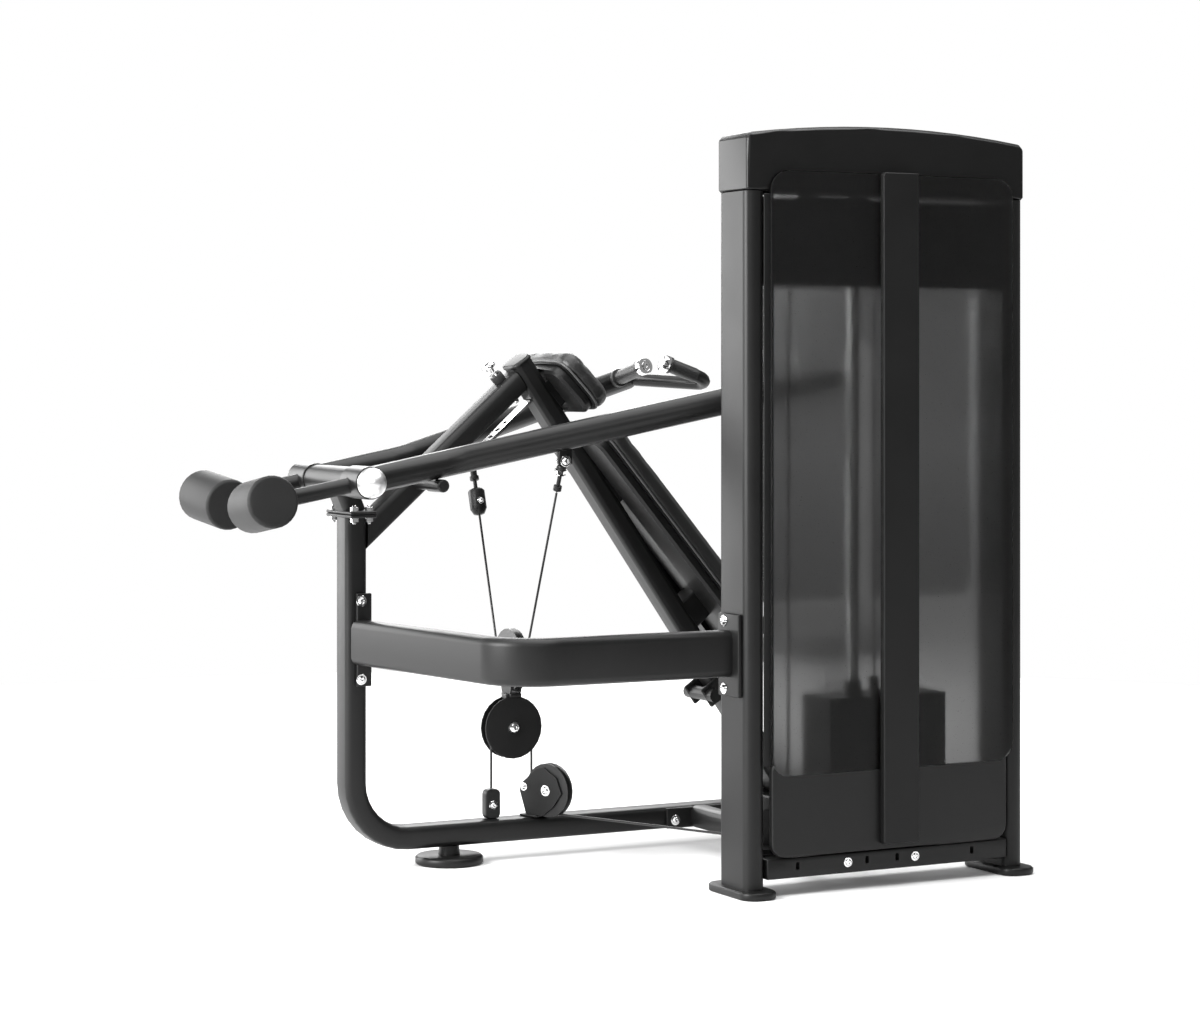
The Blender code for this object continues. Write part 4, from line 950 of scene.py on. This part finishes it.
def welt(name, loop, normal, body):
    """A piped seam: a closed round cord following a loop, its lighter vinyl a painted highlight.
    """
    bm = bmesh.new()
    rings = []
    for k, point in enumerate(loop):
        along = (loop[(k + 1) % len(loop)] - loop[k - 1]).normalized()
        out = along.cross(normal).normalized()
        rings.append(ring_at(bm, point, out, normal, WELT_R, WELT_SIDES))
    for first, second in zip(rings, rings[1:] + rings[:1]):
        skin(bm, first, second)
    piece(name, finish_mesh(bm, name), WELT_PAINTED_HIGHLIGHT, body)


def moulded_cover(node, body, seam_at, face_to):
    """The hard back of a pad, behind its seam, with softened edges."""
    name = f"{node}_cover"
    mesh = finish_mesh(front_part(node, seam_at, -face_to), name, COVER_CREASE)
    rounded = piece(name, mesh, COVER, body).modifiers.new("edges", "BEVEL")
    rounded.width = COVER_BEVEL
    rounded.segments = 2
    rounded.limit_method = "ANGLE"
    rounded.angle_limit = BEVEL_ANGLE


def drawn_in(name, bm, front_at, face_to):
    """A pad's shape made a little smaller, with room for its swelling."""
    bmesh.ops.triangulate(bm, faces=bm.faces)
    bmesh.ops.recalc_face_normals(bm, faces=bm.faces)
    centre = sum((v.co for v in bm.verts), Vector()) / len(bm.verts)
    reach = max((v.co - centre).length for v in bm.verts)
    for v in bm.verts:
        flat = (v.co - centre) - face_to * (v.co - centre).dot(face_to)
        v.co -= flat * (PAD_INSET / reach * SIDE_FACTOR)
        if (v.co - front_at).dot(face_to) > -PAD_T / 2:
            v.co -= face_to * PAD_INSET
    mesh = bpy.data.meshes.new(name)
    bm.to_mesh(mesh)
    bm.free()
    return mesh


def upholster(node, body, face_to, cap, has_cover):
    """Replaces a CAD pad with a stuffed cushion, a welt, and its moulded cover if it has one."""
    points = [v.co for v in nodes[node].data.vertices]
    middle = sum(points, Vector()) / len(points)
    front_at = middle + face_to * (max(p.dot(face_to) for p in points) - middle.dot(face_to))
    seam_at = front_at - face_to * SEAM_BACK
    shape = front_part(node, seam_at, face_to) if has_cover else welded_copy(node)
    name = f"{node}_cushion"
    cushion = new_object(name, drawn_in(name, shape, front_at, face_to))
    remesh(cushion)
    dress(cushion, VINYL)
    inflate(cushion, cap)
    if has_cover:  # nothing of the cushion reaches behind the seam
        for v in cushion.data.vertices:
            v.co += face_to * max((seam_at - v.co).dot(face_to), 0)
    cushion.data.shade_smooth()
    soft = cushion.modifiers.new("subdivision", "SUBSURF")
    soft.levels = 1
    soft.render_levels = 1
    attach(cushion, body)
    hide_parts(node)
    ahead, tuck = BACK_WELT if has_cover else SEAT_WELT
    loop_at = seam_at + face_to * ahead if has_cover else front_at - face_to * ahead
    welt(f"{node}_welt", seam_loop(node, loop_at, face_to, tuck), face_to, body)
    if has_cover:
        moulded_cover(node, body, seam_at, face_to)


pad_out = facing("back_pad", (X + Z).normalized())
upholster("headrest", "backrest", pad_out, cap=0.0045, has_cover=True)
upholster("back_pad", "backrest", pad_out, cap=0.0050, has_cover=True)
upholster("seat_pad", "seat", Z, cap=0.0050, has_cover=False)


# ---- round cables in place of the CAD cable runs ------------------------------------------------

CABLE_R = 0.0028
CABLE_PARTS = 24
STRETCHING = (  # node, the body at its lower end, the body at its upper end
    ("cable_run_left", "frame", "moving_block"),
    ("cable_run_right", "frame", "moving_block"),
    ("cable_stack", "stack", "frame"),
)
for node_name, lower_body, upper_body in STRETCHING:
    low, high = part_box(node_name)
    foot = Vector(((low.x + high.x) / 2, (low.y + high.y) / 2, low.z))
    rise = Z * (high.z - low.z)
    points = [foot + rise * (k / CABLE_PARTS) for k in range(CABLE_PARTS + 1)]
    run = cable_between(f"{node_name}_jacket", points, CABLE_R, CABLE)
    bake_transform(run)
    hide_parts(node_name)


# ---- floor, backdrop, lights, camera ------------------------------------------------------------

LENS = 85.0
SENSOR = 36.0
EYE = (-2.9218, -5.5528, 1.044)  # row frame, from the machine's footprint middle at floor height
LOOK = (0.4664, 0.8846, 0.0)
SHIFT_Y = -0.105
FLOOR_RADIUS = 4.2
ROOM_LIGHT = 0.30  # the backdrop's strength as a light
BACKDROP = 1.0  # its strength as the camera sees it
AIM = (0.0, 0.0, 0.8)

floor_mesh = bpy.data.meshes.new("studio_floor")
floor_bm = bmesh.new()
bmesh.ops.create_circle(floor_bm, cap_ends=True, segments=96, radius=FLOOR_RADIUS)
floor_bm.to_mesh(floor_mesh)
floor_bm.free()
floor_paint, floor_tree, floor_shader, floor_coords = new_material("studio_floor")
floor_tone = noise(floor_tree, floor_coords, scale=1.5, detail=2.0)
tint(floor_tree, floor_shader, floor_tone, [(0.3, 0.80), (0.7, 0.83)])
floor_shader.inputs["Roughness"].default_value = 0.9
floor_shader.inputs["Specular IOR Level"].default_value = 0.1
floor = new_object("studio_floor", floor_mesh)
dress(floor, floor_paint)

# white to the camera, dim to everything it lights
world = bpy.data.worlds.new("studio")
world.use_nodes = True
sky = world.node_tree
backdrop = next(n for n in sky.nodes if n.type == "BACKGROUND")
backdrop.inputs["Color"].default_value = (1.0, 1.0, 1.0, 1.0)
rays = sky.nodes.new("ShaderNodeLightPath")
level = spread(sky, rays.outputs["Is Camera Ray"], ROOM_LIGHT, BACKDROP)
sky.links.new(level, backdrop.inputs["Strength"])
scene.world = world


def softbox(name, place, aim, size, watts):
    """A rectangular light that looks at a point."""
    light = bpy.data.lights.new(name, "AREA")
    light.shape = "RECTANGLE"
    light.size, light.size_y = size
    light.energy = watts
    lamp = new_object(name, light)
    lamp.location = place
    lamp.rotation_euler = (Vector(aim) - Vector(place)).to_track_quat("-Z", "Y").to_euler()


softbox("key_left", place=(-4.6, -0.6, 2.4), aim=AIM, size=(2.6, 3.0), watts=560)
softbox("overhead", place=(0.2, -0.4, 4.2), aim=(0.0, 0.0, 0.6), size=(4.5, 4.5), watts=270)
softbox("fill_front", place=(-1.9, -5.0, 3.0), aim=AIM, size=(2.4, 2.0), watts=40)
softbox("rim_left", place=(-2.9, 4.3, 1.7), aim=AIM, size=(3.4, 3.2), watts=230)
softbox("rim_back", place=(1.5, 4.6, 2.8), aim=AIM, size=(3.0, 2.4), watts=160)

camera_data = bpy.data.cameras.new("camera")
camera_data.lens = LENS
camera_data.sensor_width = SENSOR
camera_data.shift_y = SHIFT_Y
camera = new_object("camera", camera_data)
camera.location = EYE
camera.rotation_euler = Vector(LOOK).to_track_quat("-Z", "Y").to_euler()
scene.camera = camera

scene.view_settings.view_transform = "Standard"
scene.view_settings.look = "None"
